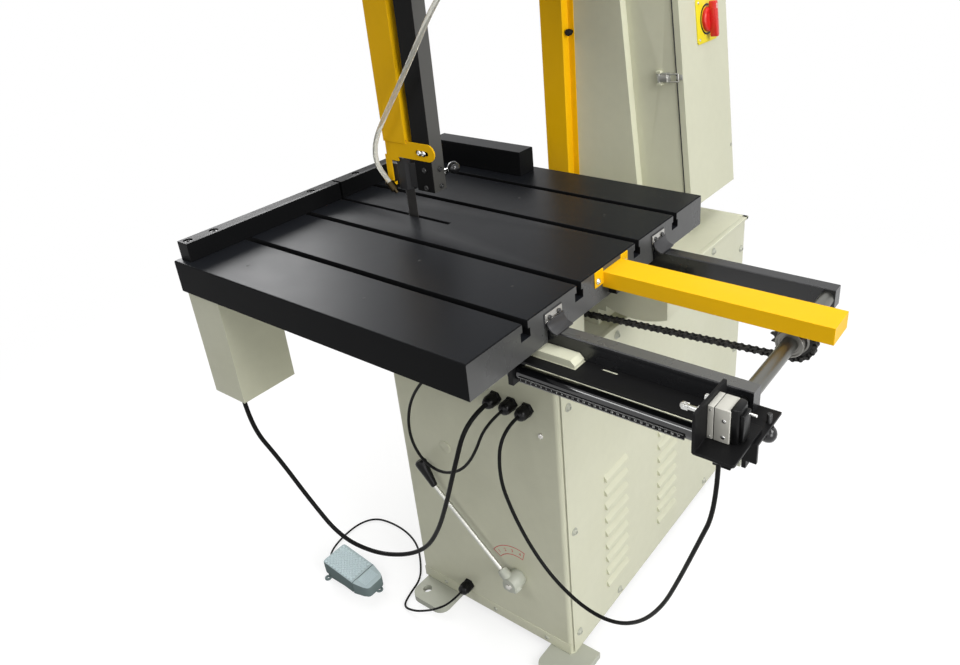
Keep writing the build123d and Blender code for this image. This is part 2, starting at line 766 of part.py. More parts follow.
# Way wipers: a steel strip and a sloping rubber lip over each rail
wiper_thickness = 3.0
wiper_pieces = []
for rail_y in (front_rail_y, rear_rail_y):
    strip = block(
        table_right, table_right + wiper_thickness, rail_y - 24, rail_y + 24, rail_top + 15, rail_top + 33
    )
    lip = [
        (table_right + wiper_thickness, rail_top + 17),
        (table_right + wiper_thickness, rail_top + 13),
        (table_right + 20, rail_top + face_gap),
        (table_right + 23, rail_top + face_gap),
        (table_right + 23, rail_top + 3),
    ]
    wiper_pieces.append(strip)
    wiper_pieces.append(prism_y(lip, rail_y - 23, rail_y + 23))
    for side in (-13, 13):
        screw_left = table_right + wiper_thickness
        screw_heads.append(rod_x(screw_left, screw_left + 3, rail_y + side, rail_top + 25, 4))
save("way_wipers", *wiper_pieces)

# Chain guard: an inverted channel fixed to the end of the table by two ears
guard_y0 = -335.0
guard_y1 = -273.0
guard_low_z = table_top - 38
guard_top_z = table_top - 9
guard_end = 640.0
channel = block(table_right, guard_end, guard_y0, guard_y1, guard_low_z, guard_top_z)
channel -= block(
    table_right - 5, guard_end - 2, guard_y0 + 2, guard_y1 - 2, guard_low_z - 5, guard_top_z - 2
)
channel += block(table_right, table_right + 2, guard_y0 - 26, guard_y0 + 1, guard_low_z + 7, guard_top_z + 7)
channel += block(table_right, table_right + 2, guard_y1 - 1, guard_y1 + 22, guard_low_z + 7, guard_top_z + 7)
channel -= block(
    table_right - 1, anchor_right + 1, chain_y - 13, chain_y + 13, guard_low_z - 5, table_bottom + 50
)
save("chain_guard", channel)
for ear_y in (guard_y0 - 17, guard_y1 + 11):
    screw_heads.append(rod_x(table_right + 2, table_right + 7, ear_y, table_top - 20, 6))
save("table_screws", *screw_heads)

# Control box under the operator's corner of the table, with its two buttons
box_left = -483.0
box_right = -387.0
box_front = -686.0
box_back = -561.0
box_low = table_bottom - 235
control_cable_end = (-462, -645)
control_box = shell(box_left, box_right, box_front, box_back, box_low, table_bottom, 2)
control_box = fillet(control_box.edges().filter_by(Axis.Z).group_by(Axis.X)[0], 2)
control_gland = Rot(180, 0, 0) * gland(control_cable_diameter / 2 + cable_gap)
control_box += Pos(*control_cable_end, box_low) * control_gland
start_y = -645.0
stop_y = -600.0
button_z = box_low + 150
stem_radius = 6.0
for button_y in (start_y, stop_y):
    control_box -= rod_x(box_left - 5, box_left + 10, button_y, button_z, stem_radius + face_gap)
save("control_box", control_box)
start_button = rod_x(box_left - 12, box_left - 6, start_y, button_z, 11)
start_button += rod_x(box_left - 7, box_left + 16, start_y, button_z, stem_radius)
save("start_button", start_button)
stop_button = rod_x(box_left - 22, box_left - 10, stop_y, button_z, 20)
stop_button += rod_x(box_left - 11, box_left + 16, stop_y, button_z, stem_radius)
save("stop_button", stop_button)

# Guide post and what it carries
post = block(post_left, post_right, post_front, post_back, post_bottom, post_top)
post = chamfer(post.edges().filter_by(Axis.Z), 1)
lever_axis_x = -160.0
lever_axis_z = post_bottom + 25
post -= rod_y(post_back - 14, post_back + 5, lever_axis_x, lever_axis_z, 4 + running_gap)
save("guide_post", post)
bracket_back = post_front
bracket_front = bracket_back - 3
bracket_low = table_top + 130
bracket = block(-257, -145, bracket_front, bracket_back, bracket_low, bracket_low + 34)
bracket += rod_y(bracket_front, bracket_back, -145, bracket_low + 17, 17)
bracket -= block(-172, -148, bracket_front - 5, bracket_back + 5, bracket_low + 11, bracket_low + 20)
bracket -= rod_y(bracket_front - 5, bracket_back + 5, -148, bracket_low + 15.5, 4.5)
bracket -= rod_y(bracket_front - 5, bracket_back + 5, -172, bracket_low + 15.5, 4.5)
bracket += block(-262, -247, bracket_front, bracket_back, table_top + 71, bracket_low + 1)
bracket += block(-262, -226, bracket_front, bracket_back, bracket_low - 9, bracket_low + 1)
nozzle_start = Vector(-241, -345, 1014)
nozzle_axis = Vector(16, 2, -20).normalized()
nozzle_place = Plane(origin=nozzle_start - nozzle_axis * 6, z_dir=nozzle_axis)
nozzle = nozzle_place * (Pos(0, 0, 9) * Cylinder(8, 18))
nozzle += nozzle_place * (Pos(0, 0, 21) * Cone(5, 3, 8))
nozzle += block(-258, -240, -345, bracket_back, table_top + 71, table_top + 78)
nozzle -= nozzle_place * (Pos(0, 0, -11.4) * Cylinder(hose_diameter / 2 + cable_gap, 37.4))
save("guard_bracket", bracket + nozzle)
blade_guard = block(-259, -199, bracket_front - 2, bracket_front, bracket_low + 29, head_bottom + 20)
blade_guard += block(-201, -199, bracket_front - 2, blade_line_y + 10, bracket_low + 36, head_bottom + 20)
blade_guard += block(-201, -199, bracket_back, blade_line_y + 10, bracket_low, bracket_low + 37)
save("blade_guard", blade_guard)
guide_block = block(-245, -207, post_front + 1, post_back - 1, table_top + 61, table_top + 127)
guide_block = chamfer(guide_block.edges().filter_by(Axis.Z), 9)
guide_block += block(-208, post_left, post_front + 6, post_back - 6, table_top + 68, table_top + 118)
guide_block -= block(
    -250, blade_right + 2, blade_line_y - 1.8, blade_line_y + 1.8, table_top + 50, table_top + 130
)
guide_block += block(-258, -236, post_front + 3, blade_line_y - 4, table_top + 63, table_top + 112)
save("guide_block", guide_block)
lever_ball = (-133, post_back + 16, lever_axis_z + 13)
lever = rod_y(post_back + face_gap, post_back + 22, lever_axis_x, lever_axis_z, 9)
lever += rod_y(post_back - 12, post_back + 5, lever_axis_x, lever_axis_z, 4)
lever += between((lever_axis_x, post_back + 16, lever_axis_z), lever_ball, 4)
lever += Pos(*lever_ball) * Sphere(12.5)
save("guide_lever", lever)

# Doors of the two wheel spaces: shallow trays hinged at the back edge


def wheel_door(face_x, depth, front, back, low, high, axis_x, axis_y, top_radius):
    """A tray that closes a face looking towards -X, with hinge barrels and a handle."""
    near = face_x - slide_gap
    far = face_x - depth
    tray = block(far, near, front, back, low, high)
    tray = fillet(tray.edges().filter_by(Axis.X).group_by(Axis.Z)[0], 20)
    tray = fillet(tray.edges().filter_by(Axis.X).group_by(Axis.Z)[-1], top_radius)
    hollow = block(far + 2.5, near + 5, front + 2.5, back - 2.5, low + 2.5, high - 2.5)
    hollow = fillet(hollow.edges().filter_by(Axis.X).group_by(Axis.Z)[0], 17.5)
    hollow = fillet(hollow.edges().filter_by(Axis.X).group_by(Axis.Z)[-1], top_radius - 2.5)
    tray -= hollow
    for spot in (low + 80, high - 190):
        tray += rod_z(spot, spot + 50, axis_x, axis_y, 5)
        tray += block(axis_x - 5, axis_x - 1, back - 2, axis_y, spot, spot + 50)
        tray -= rod_z(spot - 1, spot + 51, axis_x, axis_y, 2.5)
        tray -= block(near + 0.01, near + 30, back - 10, axis_y + 10, spot - 1, spot + 51)
    handle = block(far - 14, far + 1, front + 30, front + 46, (low + high) / 2 - 35, (low + high) / 2 + 35)
    tray += fillet(handle.edges().filter_by(Axis.Z).group_by(Axis.X)[0], 4)
    return tray


lower_door = wheel_door(
    base_left, 48, -347, 257, lower_door_low, lower_door_high, lower_axis_x, lower_axis_y, 20
)
save("lower_door", lower_door)
upper_door_back = upper_axis_y - 6
upper_door = wheel_door(
    head_left,
    40,
    head_front + 4,
    upper_door_back,
    upper_door_low,
    upper_door_high,
    upper_axis_x,
    upper_axis_y,
    78,
)
save("upper_door", upper_door)

# Gear lever: hub and shaft through the front of the base, rod and grip
hub_front = base_front - 36
rod_y_level = base_front - 24
gear = rod_y(hub_front, base_front - slide_gap, lever_x, lever_z, 21)
gear += rod_y(base_front - 2, gearbox_front + 40, lever_x, lever_z, lever_shaft_radius)
rod_end = (-142, rod_y_level, 366)
grip_end = (-170, rod_y_level, 409)
gear += between((lever_x, rod_y_level, lever_z), rod_end, 5)
gear += between(rod_end, grip_end, 13)
gear += Pos(*grip_end) * Sphere(13)
save("gear_lever", gear)

# Shelf under the front rail and the brackets of the stop bar
bar_y = -537.0
bar_z = 828.0
shelf_top = rail_bottom
shelf_right = 617.0
shelf_front = -549.0
shelf_back = front_rail_y + rail_width / 2
shelf = block(carrier_right + 1, shelf_right, shelf_front, shelf_back, shelf_top - 4, shelf_top)
shelf += block(208, carrier_right + 2, shelf_front, -528.5, shelf_top - 4, shelf_top)
shelf -= block(343, 372, -507, -499, shelf_top - 10, shelf_top + 5)
shelf += block(592, shelf_right, -559, shelf_front + 1, shelf_top - 4, shelf_top)
shelf += block(592, shelf_right, -559, -554, shelf_top - 32, shelf_top)
knob_x = 611.0
knob_y = -504.0
shelf -= rod_z(shelf_top - 10, shelf_top + 5, knob_x, knob_y, 4 + face_gap)
bar_radius = bar_diameter / 2
end_plate_left = 595.0
shelf += block(end_plate_left, end_plate_left + 6, bar_y - 18, bar_y + 18, bar_z - 16, shelf_top - 3)
left_plate = block(195, 205, bar_y - 18, bar_y + 18, bar_z - 18, carrier_bottom)
left_plate -= rod_x(190, 240, bar_y, bar_z, bar_radius)
save("bar_brackets", shelf, left_plate)
save("stop_bar", rod_x(187, end_plate_left, bar_y, bar_z, bar_radius))
save("scale_strip", block(214, 508, bar_y - bar_radius - 2, bar_y - bar_radius, bar_z - 8.5, bar_z + 1.5))

# Knob under the end of the shelf
knob = Pos(knob_x, knob_y, shelf_top - 18) * Sphere(12.5)
knob += rod_z(shelf_top - 12, shelf_top + 8, knob_x, knob_y, 4)
save("clamp_knob", knob)

# Switch carriage on the stop bar, with the limit switch and its plunger
tray_left = 552.0
tray_right = 611.0
tray_front = -622.0
tray_back = -525.0
tray_low = shelf_top + 2
tray_top = tray_low + 4
switch_gland = (573, -580)
plunger_y = -567.0
plunger_z = table_top - 48.5
barrel_radius = 7.0
tray = block(tray_left, tray_right, tray_front, tray_back, tray_low, tray_top)
tray = fillet(tray.edges().filter_by(Axis.Z).group_by(Axis.X)[-1], 5)
wall = block(tray_left, tray_left + 4, tray_front, tray_back, tray_low, tray_low + 64)
tray += fillet(wall.edges().filter_by(Axis.X).group_by(Axis.Z)[-1], 5)
bend = tray.edges().filter_by(Axis.Y).group_by(Axis.X)[0].group_by(Axis.Z)[0]
tray = fillet(bend, 3.5)
clamp = block(558, 584, bar_y - 20, bar_y + 20, bar_z - 20, bar_z + 20)
clamp += block(558, 584, bar_y - 28.5, bar_y - 19, bar_z - 20, tray_low + 1)
clamp -= rod_x(550, 590, bar_y, bar_z, bar_radius + running_gap)
tray += clamp
tray -= rod_x(tray_left - 5, tray_left + 10, plunger_y, plunger_z, barrel_radius)
tray += Pos(*switch_gland, tray_low) * Rot(180, 0, 0) * (gland(switch_cable_diameter / 2 + cable_gap))
save("switch_carriage", tray)
switch = block(tray_left + 4, 587, -585, -548, tray_top, tray_top + 53)
switch_cap = block(586, 604, -583, -550, tray_top, tray_top + 57)
switch += fillet(switch_cap.edges().filter_by(Axis.Z).group_by(Axis.X)[-1], 3)
switch += rod_x(534, tray_left + 5, plunger_y, plunger_z, barrel_radius)
switch -= rod_x(530, tray_left + 14, plunger_y, plunger_z, 4 + running_gap)
save("limit_switch", switch)
plunger = rod_x(516, 556, plunger_y, plunger_z, 4)
plunger += rod_y(plunger_y - 4, plunger_y + 4, 514, plunger_z, 6)
save("switch_plunger", plunger)

# Foot pedal: a base with a fixed toe and a hinged treadle
pedal_left = -469.0
pedal_right = -323.0
pedal_front = -552.0
pedal_back = -479.0
toe_left = -367.0
treadle_axis_x = toe_left - 5
treadle_axis_z = 24.0
pedal = block(pedal_left, pedal_right, pedal_front, pedal_back, 0, 7)
pedal += block(toe_left, pedal_right, pedal_front, pedal_back, 0, 30)
toe_edge = pedal.edges().filter_by(Axis.Y).sort_by(lambda e: e.center().X + e.center().Z)[-1]
pedal = fillet(toe_edge, 14)
for wall_front in (pedal_front, pedal_back - 3):
    pedal += block(pedal_left, toe_left + 2, wall_front, wall_front + 3, 0, 20)
pedal += block(pedal_left, pedal_left + 3, pedal_front, pedal_back, 0, 20)
pedal += rod_z(0, 7, pedal_left + 8, pedal_front - 5, 9) + rod_z(0, 7, pedal_right + 5, -507, 9)
pedal -= rod_z(-1, 10, pedal_left + 8, pedal_front - 6, 3)
pedal -= rod_z(-1, 10, pedal_right + 7, -507, 3)
pedal += rod_x(pedal_left - 8, pedal_left + 2, -512, 12, 8)
pedal -= rod_x(pedal_left - 20, pedal_left + 1, -512, 12, pedal_cable_diameter / 2 + 1.2)
for ear_front in (pedal_front + 3, pedal_back - 8):
    pedal += block(treadle_axis_x - 4, toe_left + 1, ear_front, ear_front + 5, 5, treadle_axis_z + 3)
pedal += rod_y(pedal_front + 5, pedal_back - 5, treadle_axis_x, treadle_axis_z, 2.5)
save("pedal_base", pedal)
treadle_profile = [
    (toe_left - 1.5, 27), (toe_left - 1.5, 34), (pedal_left - 2, 50), (pedal_left - 4, 47),
    (pedal_left - 4, 36), (pedal_left, 36), (pedal_left, 41), (treadle_axis_x - 6, 28),
    (treadle_axis_x - 6, 21), (treadle_axis_x, 20),
]
treadle = prism_y(treadle_profile, pedal_front + 9, pedal_back - 9)
treadle -= rod_y(pedal_front, pedal_back, treadle_axis_x, treadle_axis_z, 2.5 + running_gap)
save("pedal_treadle", treadle)

# Cable glands on the base, the sensor gland under the carrier and the hose fitting under the head
gland_z = 650.0
front_glands = [(43, gland_z, control_cable_diameter), (82, gland_z, sensor_cable_diameter)]
front_glands += [(120, gland_z, switch_cable_diameter), (-98, 68, pedal_cable_diameter)]
glands = []
for gland_x, level, size in front_glands:
    glands.append(Pos(gland_x, base_front, level) * Rot(90, 0, 0) * gland(size / 2 + cable_gap))
glands.append(Pos(0, -505, carrier_bottom) * Rot(180, 0, 0) * gland(sensor_cable_diameter / 2 + cable_gap))
fitting = rod_z(head_bottom - 14, head_bottom, -39, -351, 11)
fitting -= rod_z(head_bottom - 15, head_bottom - 3, -39, -351, hose_diameter / 2 + cable_gap)
glands.append(fitting)
save("cable_glands", *glands)

# Cables and the coolant hose, as routed in the photograph
control_route = [
    (43, -446, 650), (43, -508, 650), (24, -538, 545), (-12, -535, 445), (-48, -534, 355),
    (-92, -536, 282), (-155, -545, 235), (-238, -563, 213), (-322, -584, 236), (-382, -600, 330),
    (-430, -620, 440), (-462, -645, 530), (-462, -645, 615),
]
sensor_route = [
    (82, -446, 650), (82, -500, 650), (66, -522, 586), (24, -520, 530), (-34, -518, 498),
    (-88, -517, 512), (-113, -516, 566), (-100, -514, 640), (-58, -512, 706), (0, -505, 758),
    (0, -505, 824),
]
switch_route = [
    (120, -446, 650), (120, -502, 650), (124, -524, 565), (146, -518, 478), (182, -513, 402),
    (232, -511, 345), (300, -513, 315), (368, -522, 330), (430, -537, 388), (478, -551, 470),
    (513, -564, 565), (545, -575, 660), (573, -580, 745), (573, -580, 836),
]
pedal_route = [
    (-472, -512, 12), (-500, -512, 12), (-526, -478, 4), (-537, -430, 3), (-536, -376, 3),
    (-512, -338, 3), (-462, -327, 3), (-400, -330, 3), (-343, -350, 3), (-294, -390, 3),
    (-256, -432, 3), (-246, -480, 3), (-232, -518, 4), (-196, -517, 10), (-160, -512, 28),
    (-122, -516, 60), (-98, -490, 68), (-98, -446, 68),
]
hose_route = [
    (-39, -351, 1434), (-39, -351, 1390), (-80, -351, 1345), (-128, -351, 1280), (-176, -351, 1217),
    (-224, -351, 1157), (-262, -351, 1105), (-272, -350, 1062), (-257, -347, 1034), (-241, -345, 1014),
]
save("control_cable", cable(control_route, control_cable_diameter, "control cable"))
save("sensor_cable", cable(sensor_route, sensor_cable_diameter, "sensor cable"))
save("switch_cable", cable(switch_route, switch_cable_diameter, "switch cable"))
save("pedal_cable", cable(pedal_route, pedal_cable_diameter, "pedal cable"))
save("coolant_hose", cable(hose_route, hose_diameter, "coolant hose"))
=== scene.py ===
"""Looks of a vertical metal band saw with a chain-fed sliding table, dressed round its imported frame."""
import logging
import math
from dataclasses import dataclass
from enum import Enum
from functools import cache
from typing import Any, Callable, Sequence

import bmesh
import bpy
from mathutils import Matrix, Vector


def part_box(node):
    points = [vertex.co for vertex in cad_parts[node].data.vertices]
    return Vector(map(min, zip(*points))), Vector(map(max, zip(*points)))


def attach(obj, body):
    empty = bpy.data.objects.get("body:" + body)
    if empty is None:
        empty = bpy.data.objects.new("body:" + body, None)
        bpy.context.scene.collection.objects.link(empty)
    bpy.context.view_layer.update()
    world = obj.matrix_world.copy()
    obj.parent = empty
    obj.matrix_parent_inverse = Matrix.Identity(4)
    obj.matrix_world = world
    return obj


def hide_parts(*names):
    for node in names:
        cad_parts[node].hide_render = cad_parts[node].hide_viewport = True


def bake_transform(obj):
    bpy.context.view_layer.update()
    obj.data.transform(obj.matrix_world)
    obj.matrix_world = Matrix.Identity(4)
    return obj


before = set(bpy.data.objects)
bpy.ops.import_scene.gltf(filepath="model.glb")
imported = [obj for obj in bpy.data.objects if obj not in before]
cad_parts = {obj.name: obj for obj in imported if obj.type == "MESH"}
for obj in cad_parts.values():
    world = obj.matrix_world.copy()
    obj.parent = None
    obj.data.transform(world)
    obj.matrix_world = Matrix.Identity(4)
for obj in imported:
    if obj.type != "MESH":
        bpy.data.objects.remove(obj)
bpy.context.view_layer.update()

MM = 0.001
SMOOTH_ANGLE = 38.0
# Faces whose normal rises past this take the top finish, which paints light on the pedal's top.
LIT_TOP_NORMAL_Z = 0.6
FACING = 0.9
FRONT_RAIL = -0.4
Point = tuple[float, float, float]
Pair = tuple[float, float]
Colour = tuple[float, float, float]
Socket = bpy.types.NodeSocket
Spot = tuple[Vector, Vector, Vector]
log = logging.getLogger("band_saw")


def at(x: float, y: float, z: float) -> Vector:
    """A point given in millimetres, in metres."""
    return Vector((x, y, z)) * MM


class Axis(Enum):
    """The three directions of the saw's frame."""

    X = (1.0, 0.0, 0.0)
    Y = (0.0, 1.0, 0.0)
    Z = (0.0, 0.0, 1.0)

    @property
    def vector(self) -> Vector:
        """The direction as a unit vector."""
        return Vector(self.value)


RIGHT, BACK, UP = (axis.vector for axis in Axis)
LEFT, FRONT, DOWN = -RIGHT, -BACK, -UP


class Body(Enum):
    """The moving bodies that pieces ride on."""

    FRAME = "frame"
    TABLE = "table"
    POST = "guide_post"
    POST_LEVER = "guide_lever"
    CABINET_DOOR = "cabinet_door"
    MAIN_SWITCH = "main_switch"
    CLASP = "cabinet_clasp"
    GEAR_LEVER = "gear_lever"
    CARRIAGE = "switch_carriage"
    PLUNGER = "switch_plunger"
    CLAMP_KNOB = "clamp_knob"
    TREADLE = "pedal_treadle"
    IDLER = "idler_sprocket"
    DRIVE = "drive_sprocket"
    LOWER_WHEEL = "lower_wheel"
    UPPER_WHEEL = "upper_wheel"
    TENSION_WHEEL = "tension_handwheel"
    POST_WHEEL = "post_handwheel"
    START = "start_button"
    STOP = "stop_button"


# Finishes


class ShaderTree:
    """A material's nodes, with short calls to add and join them."""

    def __init__(self, name: str) -> None:
        """Makes an empty material with a Principled shader.

        Args:
            name: The material's name.
        """
        self.material = bpy.data.materials.new(name)
        self.material.use_nodes = True
        self.nodes = self.material.node_tree.nodes
        self.links = self.material.node_tree.links
        self.shader = self.nodes["Principled BSDF"]
        self.place = self.nodes.new("ShaderNodeTexCoord").outputs["Object"]

    def fill(self, socket: Socket, value: Any) -> None:
        """Links an input to an output, or sets its value; a colour gets its alpha.

        Args:
            socket: The input.
            value: An output, or a value.
        """
        if isinstance(value, Socket):
            self.links.new(value, socket)
        elif socket.type == "RGBA":
            socket.default_value = (*value, 1.0)
        else:
            socket.default_value = value

    def add(self, kind: str, sockets: dict[Any, Any] | None = None, **settings: Any) -> bpy.types.Node:
        """Adds a node.

        Args:
            kind: The node's type name.
            sockets: Values or output sockets for its inputs.
            settings: Other settings of the node.

        Returns:
            The new node.
        """
        node = self.nodes.new(kind)
        for key, value in settings.items():
            setattr(node, key, value)
        for key, value in (sockets or {}).items():
            self.fill(node.inputs[key], value)
        return node

    def noise(self, scale: float, detail: float = 2.0, stretch: Point = (1, 1, 1)) -> Socket:
        """Noise on Object coordinates, about scale features a metre, stretched for grain along an axis."""
        place = self.add("ShaderNodeMapping", {"Vector": self.place, "Scale": stretch}).outputs[0]
        return self.add("ShaderNodeTexNoise", {"Vector": place, "Scale": scale, "Detail": detail}).outputs[0]

    def ramp(
        self, value: Socket, low: float, high: float, start: float = 0.3, stop: float = 0.7, **settings: Any
    ) -> Socket:
        """Spreads the part of a value from start to stop over the range from low to high."""
        sockets = {"Value": value, "From Min": start, "From Max": stop, "To Min": low, "To Max": high}
        return self.add("ShaderNodeMapRange", sockets, **settings).outputs[0]

    def mix(self, share: Socket, first: Any, second: Any) -> Socket:
        """Mixes two colours, or sockets of colours, by the share of the second."""
        return self.add("ShaderNodeMix", {0: share, 6: first, 7: second}, data_type="RGBA").outputs[2]

    def edges(self, radius: float) -> tuple[Socket, Socket]:
        """Finds the edges of the surface.

        Args:
            radius: How far from an edge still counts, in metres.

        Returns:
            The rounded normal, and a mask that is 1 at the edges.
        """
        rounded = self.add("ShaderNodeBevel", {"Radius": radius}, samples=6).outputs[0]
        flat = self.add("ShaderNodeNewGeometry").outputs["Normal"]
        lined_up = self.add("ShaderNodeVectorMath", {0: rounded, 1: flat}, operation="DOT_PRODUCT")
        return rounded, self.ramp(lined_up.outputs["Value"], 0.0, 1.0, 1.0, 0.86)

    def bump(self, height: Socket, strength: float, depth: float, normal: Socket | None = None) -> None:
        """Gives the shader a bumped normal.

        Args:
            height: The bump's height field.
            strength: From 0 to 1.
            depth: The bump's depth in metres.
            normal: A normal to start from.
        """
        node = self.add("ShaderNodeBump", {"Height": height, "Strength": strength, "Distance": depth})
        if normal is not None:
            self.links.new(normal, node.inputs["Normal"])
        self.links.new(node.outputs[0], self.shader.inputs["Normal"])

    def feed(self, **sockets: Any) -> None:
        """Fills inputs of the shader, with underscores for the spaces in their names."""
        for key, value in sockets.items():
            self.fill(self.shader.inputs[key.replace("_", " ")], value)


@dataclass(frozen=True)
class Finish:
    """A finish that can make its material once and hand it out again."""

    name: str
    colour: Colour
    roughness: float

    @cache
    def material(self) -> bpy.types.Material:
        """The material, made on first use and never one of the frame's own."""
        return self.make()

    def make(self) -> bpy.types.Material:
        """Builds the material."""
        raise NotImplementedError

    def shade(self, factor: float) -> Colour:
        """The finish's colour made lighter or darker by a factor."""
        return tuple(min(1.0, c * factor) for c in self.colour)


@dataclass(frozen=True)
class Paint(Finish):
    """Sprayed enamel with a slow drift of tone, faint orange peel and edges painted lighter, as rubbed wear
    and as a painted highlight.
    """

    drift: float = 0.05
    peel: float = 0.12
    edge_wear_and_highlight: float = 1.12
    gloss: float = 0.5

    def make(self) -> bpy.types.Material:
        """Builds the enamel.

        Returns:
            The material.
        """
        tree = ShaderTree(self.name)
        # The edge mask paints the edges lighter: rubbed wear and a painted highlight.
        rounded, edge = tree.edges(0.0012)
        toned = tree.mix(tree.noise(2.6, 4.0), self.shade(1 - self.drift), self.shade(1 + self.drift))
        dusty = tree.mix(tree.ramp(tree.noise(46, 6.0), 0.0, 0.35), toned, self.shade(1 - self.drift * 1.6))
        tree.feed(
            Base_Color=tree.mix(edge, dusty, self.shade(self.edge_wear_and_highlight)),
            Roughness=tree.ramp(tree.noise(9, 5.0), self.roughness - 0.06, self.roughness + 0.07),
            Specular_IOR_Level=self.gloss,
        )
        tree.bump(tree.noise(620, 2.0), self.peel, 0.00035, rounded)
        return tree.material


@dataclass(frozen=True)
class Steel(Finish):
    """Bare or ground steel with fine marks along an axis and edges painted brighter, as wear and as a painted
    highlight.
    """

    grain: Axis | None = None
    metallic: float = 1.0
    edge_wear_and_highlight: float = 1.6
    marks: float = 0.1
    gloss: float = 0.5
    smudge: float = 0.12
    wear: float = 0.07

    def make(self) -> bpy.types.Material:
        """Builds the steel.

        Returns:
            The material.
        """
        tree = ShaderTree(self.name)
        # The edge mask paints the edges brighter: wear and a painted highlight.
        rounded, edge = tree.edges(0.0009)
        stretch = (1.0, 1.0, 1.0)
        if self.grain is not None:
            stretch = tuple(0.035 if part else 1.0 for part in self.grain.value)
        lines = tree.noise(900, 3.0, stretch)
        toned = tree.mix(tree.noise(7, 5.0), self.shade(1 - self.smudge), self.shade(1 + self.smudge))
        lined = tree.mix(tree.ramp(lines, 0.0, 0.25), toned, self.shade(0.8))
        tree.feed(
            Base_Color=tree.mix(edge, lined, self.shade(self.edge_wear_and_highlight)),
            Roughness=tree.ramp(tree.noise(21, 6.0), self.roughness - self.wear, self.roughness + self.wear),
            Metallic=self.metallic,
            Specular_IOR_Level=self.gloss,
        )
        tree.bump(lines, self.marks, 0.0003, rounded)
        return tree.material


@dataclass(frozen=True)
class Blacking(Steel):
    """Blacked steel, which shines like a dark paint and has fainter marks."""

    metallic: float = 0.0
    edge_wear_and_highlight: float = 2.2
    marks: float = 0.06
    smudge: float = 0.05
    wear: float = 0.03


@dataclass(frozen=True)
class Moulded(Finish):
    """Moulded plastic or rubber with a fine spark texture, a little dust and edges painted lighter, as wear
    and as a painted highlight.
    """

    grit: float = 0.18
    grit_scale: float = 1500.0
    dust: float = 0.25
    gloss: float = 0.45

    def make(self) -> bpy.types.Material:
        """Builds the plastic.

        Returns:
            The material.
        """
        tree = ShaderTree(self.name)
        # The edge mask paints the edges lighter: wear and a painted highlight.
        rounded, edge = tree.edges(0.0006)
        dusty = tree.mix(tree.ramp(tree.noise(60, 7.0), 0.0, self.dust), self.colour, self.shade(1.35))
        tree.feed(
            Base_Color=tree.mix(edge, dusty, self.shade(1.15)),
            Roughness=tree.ramp(tree.noise(30, 4.0), self.roughness - 0.05, self.roughness + 0.1),
            Specular_IOR_Level=self.gloss,
        )
        tree.bump(tree.noise(self.grit_scale, 2.0), self.grit, 0.0002, rounded)
        return tree.material


@dataclass(frozen=True)
class ClearHose(Finish):
    """Translucent plastic tube, a little milky, with faint lines along its wall."""

    clearness: float = 0.55

    def make(self) -> bpy.types.Material:
        """Builds the tube's plastic.

        Returns:
            The material.
        """
        tree = ShaderTree(self.name)
        milky = tree.mix(tree.noise(90, 4.0), self.shade(0.9), self.shade(1.08))
        tree.feed(Base_Color=milky, Roughness=self.roughness, Transmission_Weight=self.clearness, IOR=1.42)
        tree.bump(tree.noise(700, 2.0), 0.15, 0.0003)
        return tree.material


CREAM = Paint("cream_enamel", (0.62, 0.62, 0.475), 0.42, gloss=0.25)
# A darker, greyer copy of the cream enamel: painted shade on the feet, which stand in the shade of the base's
# front; the bolt heads take it too.
CREAM_SHADED = Paint("cream_painted_shade", (0.44, 0.45, 0.38), 0.46, peel=0.4, gloss=0.25)
HUB_PAINT = Paint("hub_paint", (0.44, 0.455, 0.39), 0.42, peel=0.4, gloss=0.3)
YELLOW = Paint("yellow_enamel", (0.86, 0.48, 0.004), 0.38, drift=0.04, edge_wear_and_highlight=1.1, gloss=0.14)
SWITCH_YELLOW = Paint("switch_yellow", (0.80, 0.66, 0.02), 0.4, peel=0.05, gloss=0.25)
POWDER_BLACK = Paint("powder_black", (0.0065, 0.0065, 0.0068), 0.4, peel=0.5, edge_wear_and_highlight=2.4, gloss=0.1)
CAST_GREY = Paint("casting_grey", (0.16, 0.165, 0.16), 0.5, peel=0.6)
# One pedal casting in three tones: darker sides as painted shade, a lighter top as painted light, a lighter
# tread as a painted highlight.
PEDAL_SHADED_SIDES = Paint("pedal_sides_painted_shade", (0.16, 0.205, 0.205), 0.6, peel=0.15, edge_wear_and_highlight=1.25, gloss=0.02)
PEDAL_LIT_TOP = Paint("pedal_top_painted_light", (0.43, 0.52, 0.54), 0.48, peel=0.3, edge_wear_and_highlight=1.1, gloss=0.15)
PEDAL_TREAD_HIGHLIGHT = Paint("pedal_tread", (0.56, 0.67, 0.70), 0.5, peel=0.2, edge_wear_and_highlight=1.04, gloss=0.15)

TABLE_BLACK = Blacking(
    "table_black", (0.0095, 0.0097, 0.0102), 0.46, Axis.X, edge_wear_and_highlight=1.9, gloss=0.02, smudge=0.04, wear=0.02
)
# Top faces of the table: a smoother, glossier ground finish, with a faint blue tint that is a painted sheen.
TABLE_GROUND_SHEEN = Blacking(
    "table_ground_and_sheen", (0.0096, 0.0106, 0.0128), 0.34, Axis.X, edge_wear_and_highlight=1.8, gloss=0.08, smudge=0.04, wear=0.02
)
# The table's +X end faces, painted lighter grey: a painted sheen on the lit end.
TABLE_END_SHEEN = Blacking(
    "table_end_painted_sheen", (0.07, 0.071, 0.07), 0.3, Axis.Y, edge_wear_and_highlight=1.4, gloss=0.3, smudge=0.2, wear=0.05
)
BAR_BLACK = Blacking("bar_black", (0.006, 0.0062, 0.0066), 0.42, Axis.Y, gloss=0.05, smudge=0.04)
RAIL_BLACK = Blacking("rail_black", (0.012, 0.0123, 0.0135), 0.26, Axis.X)
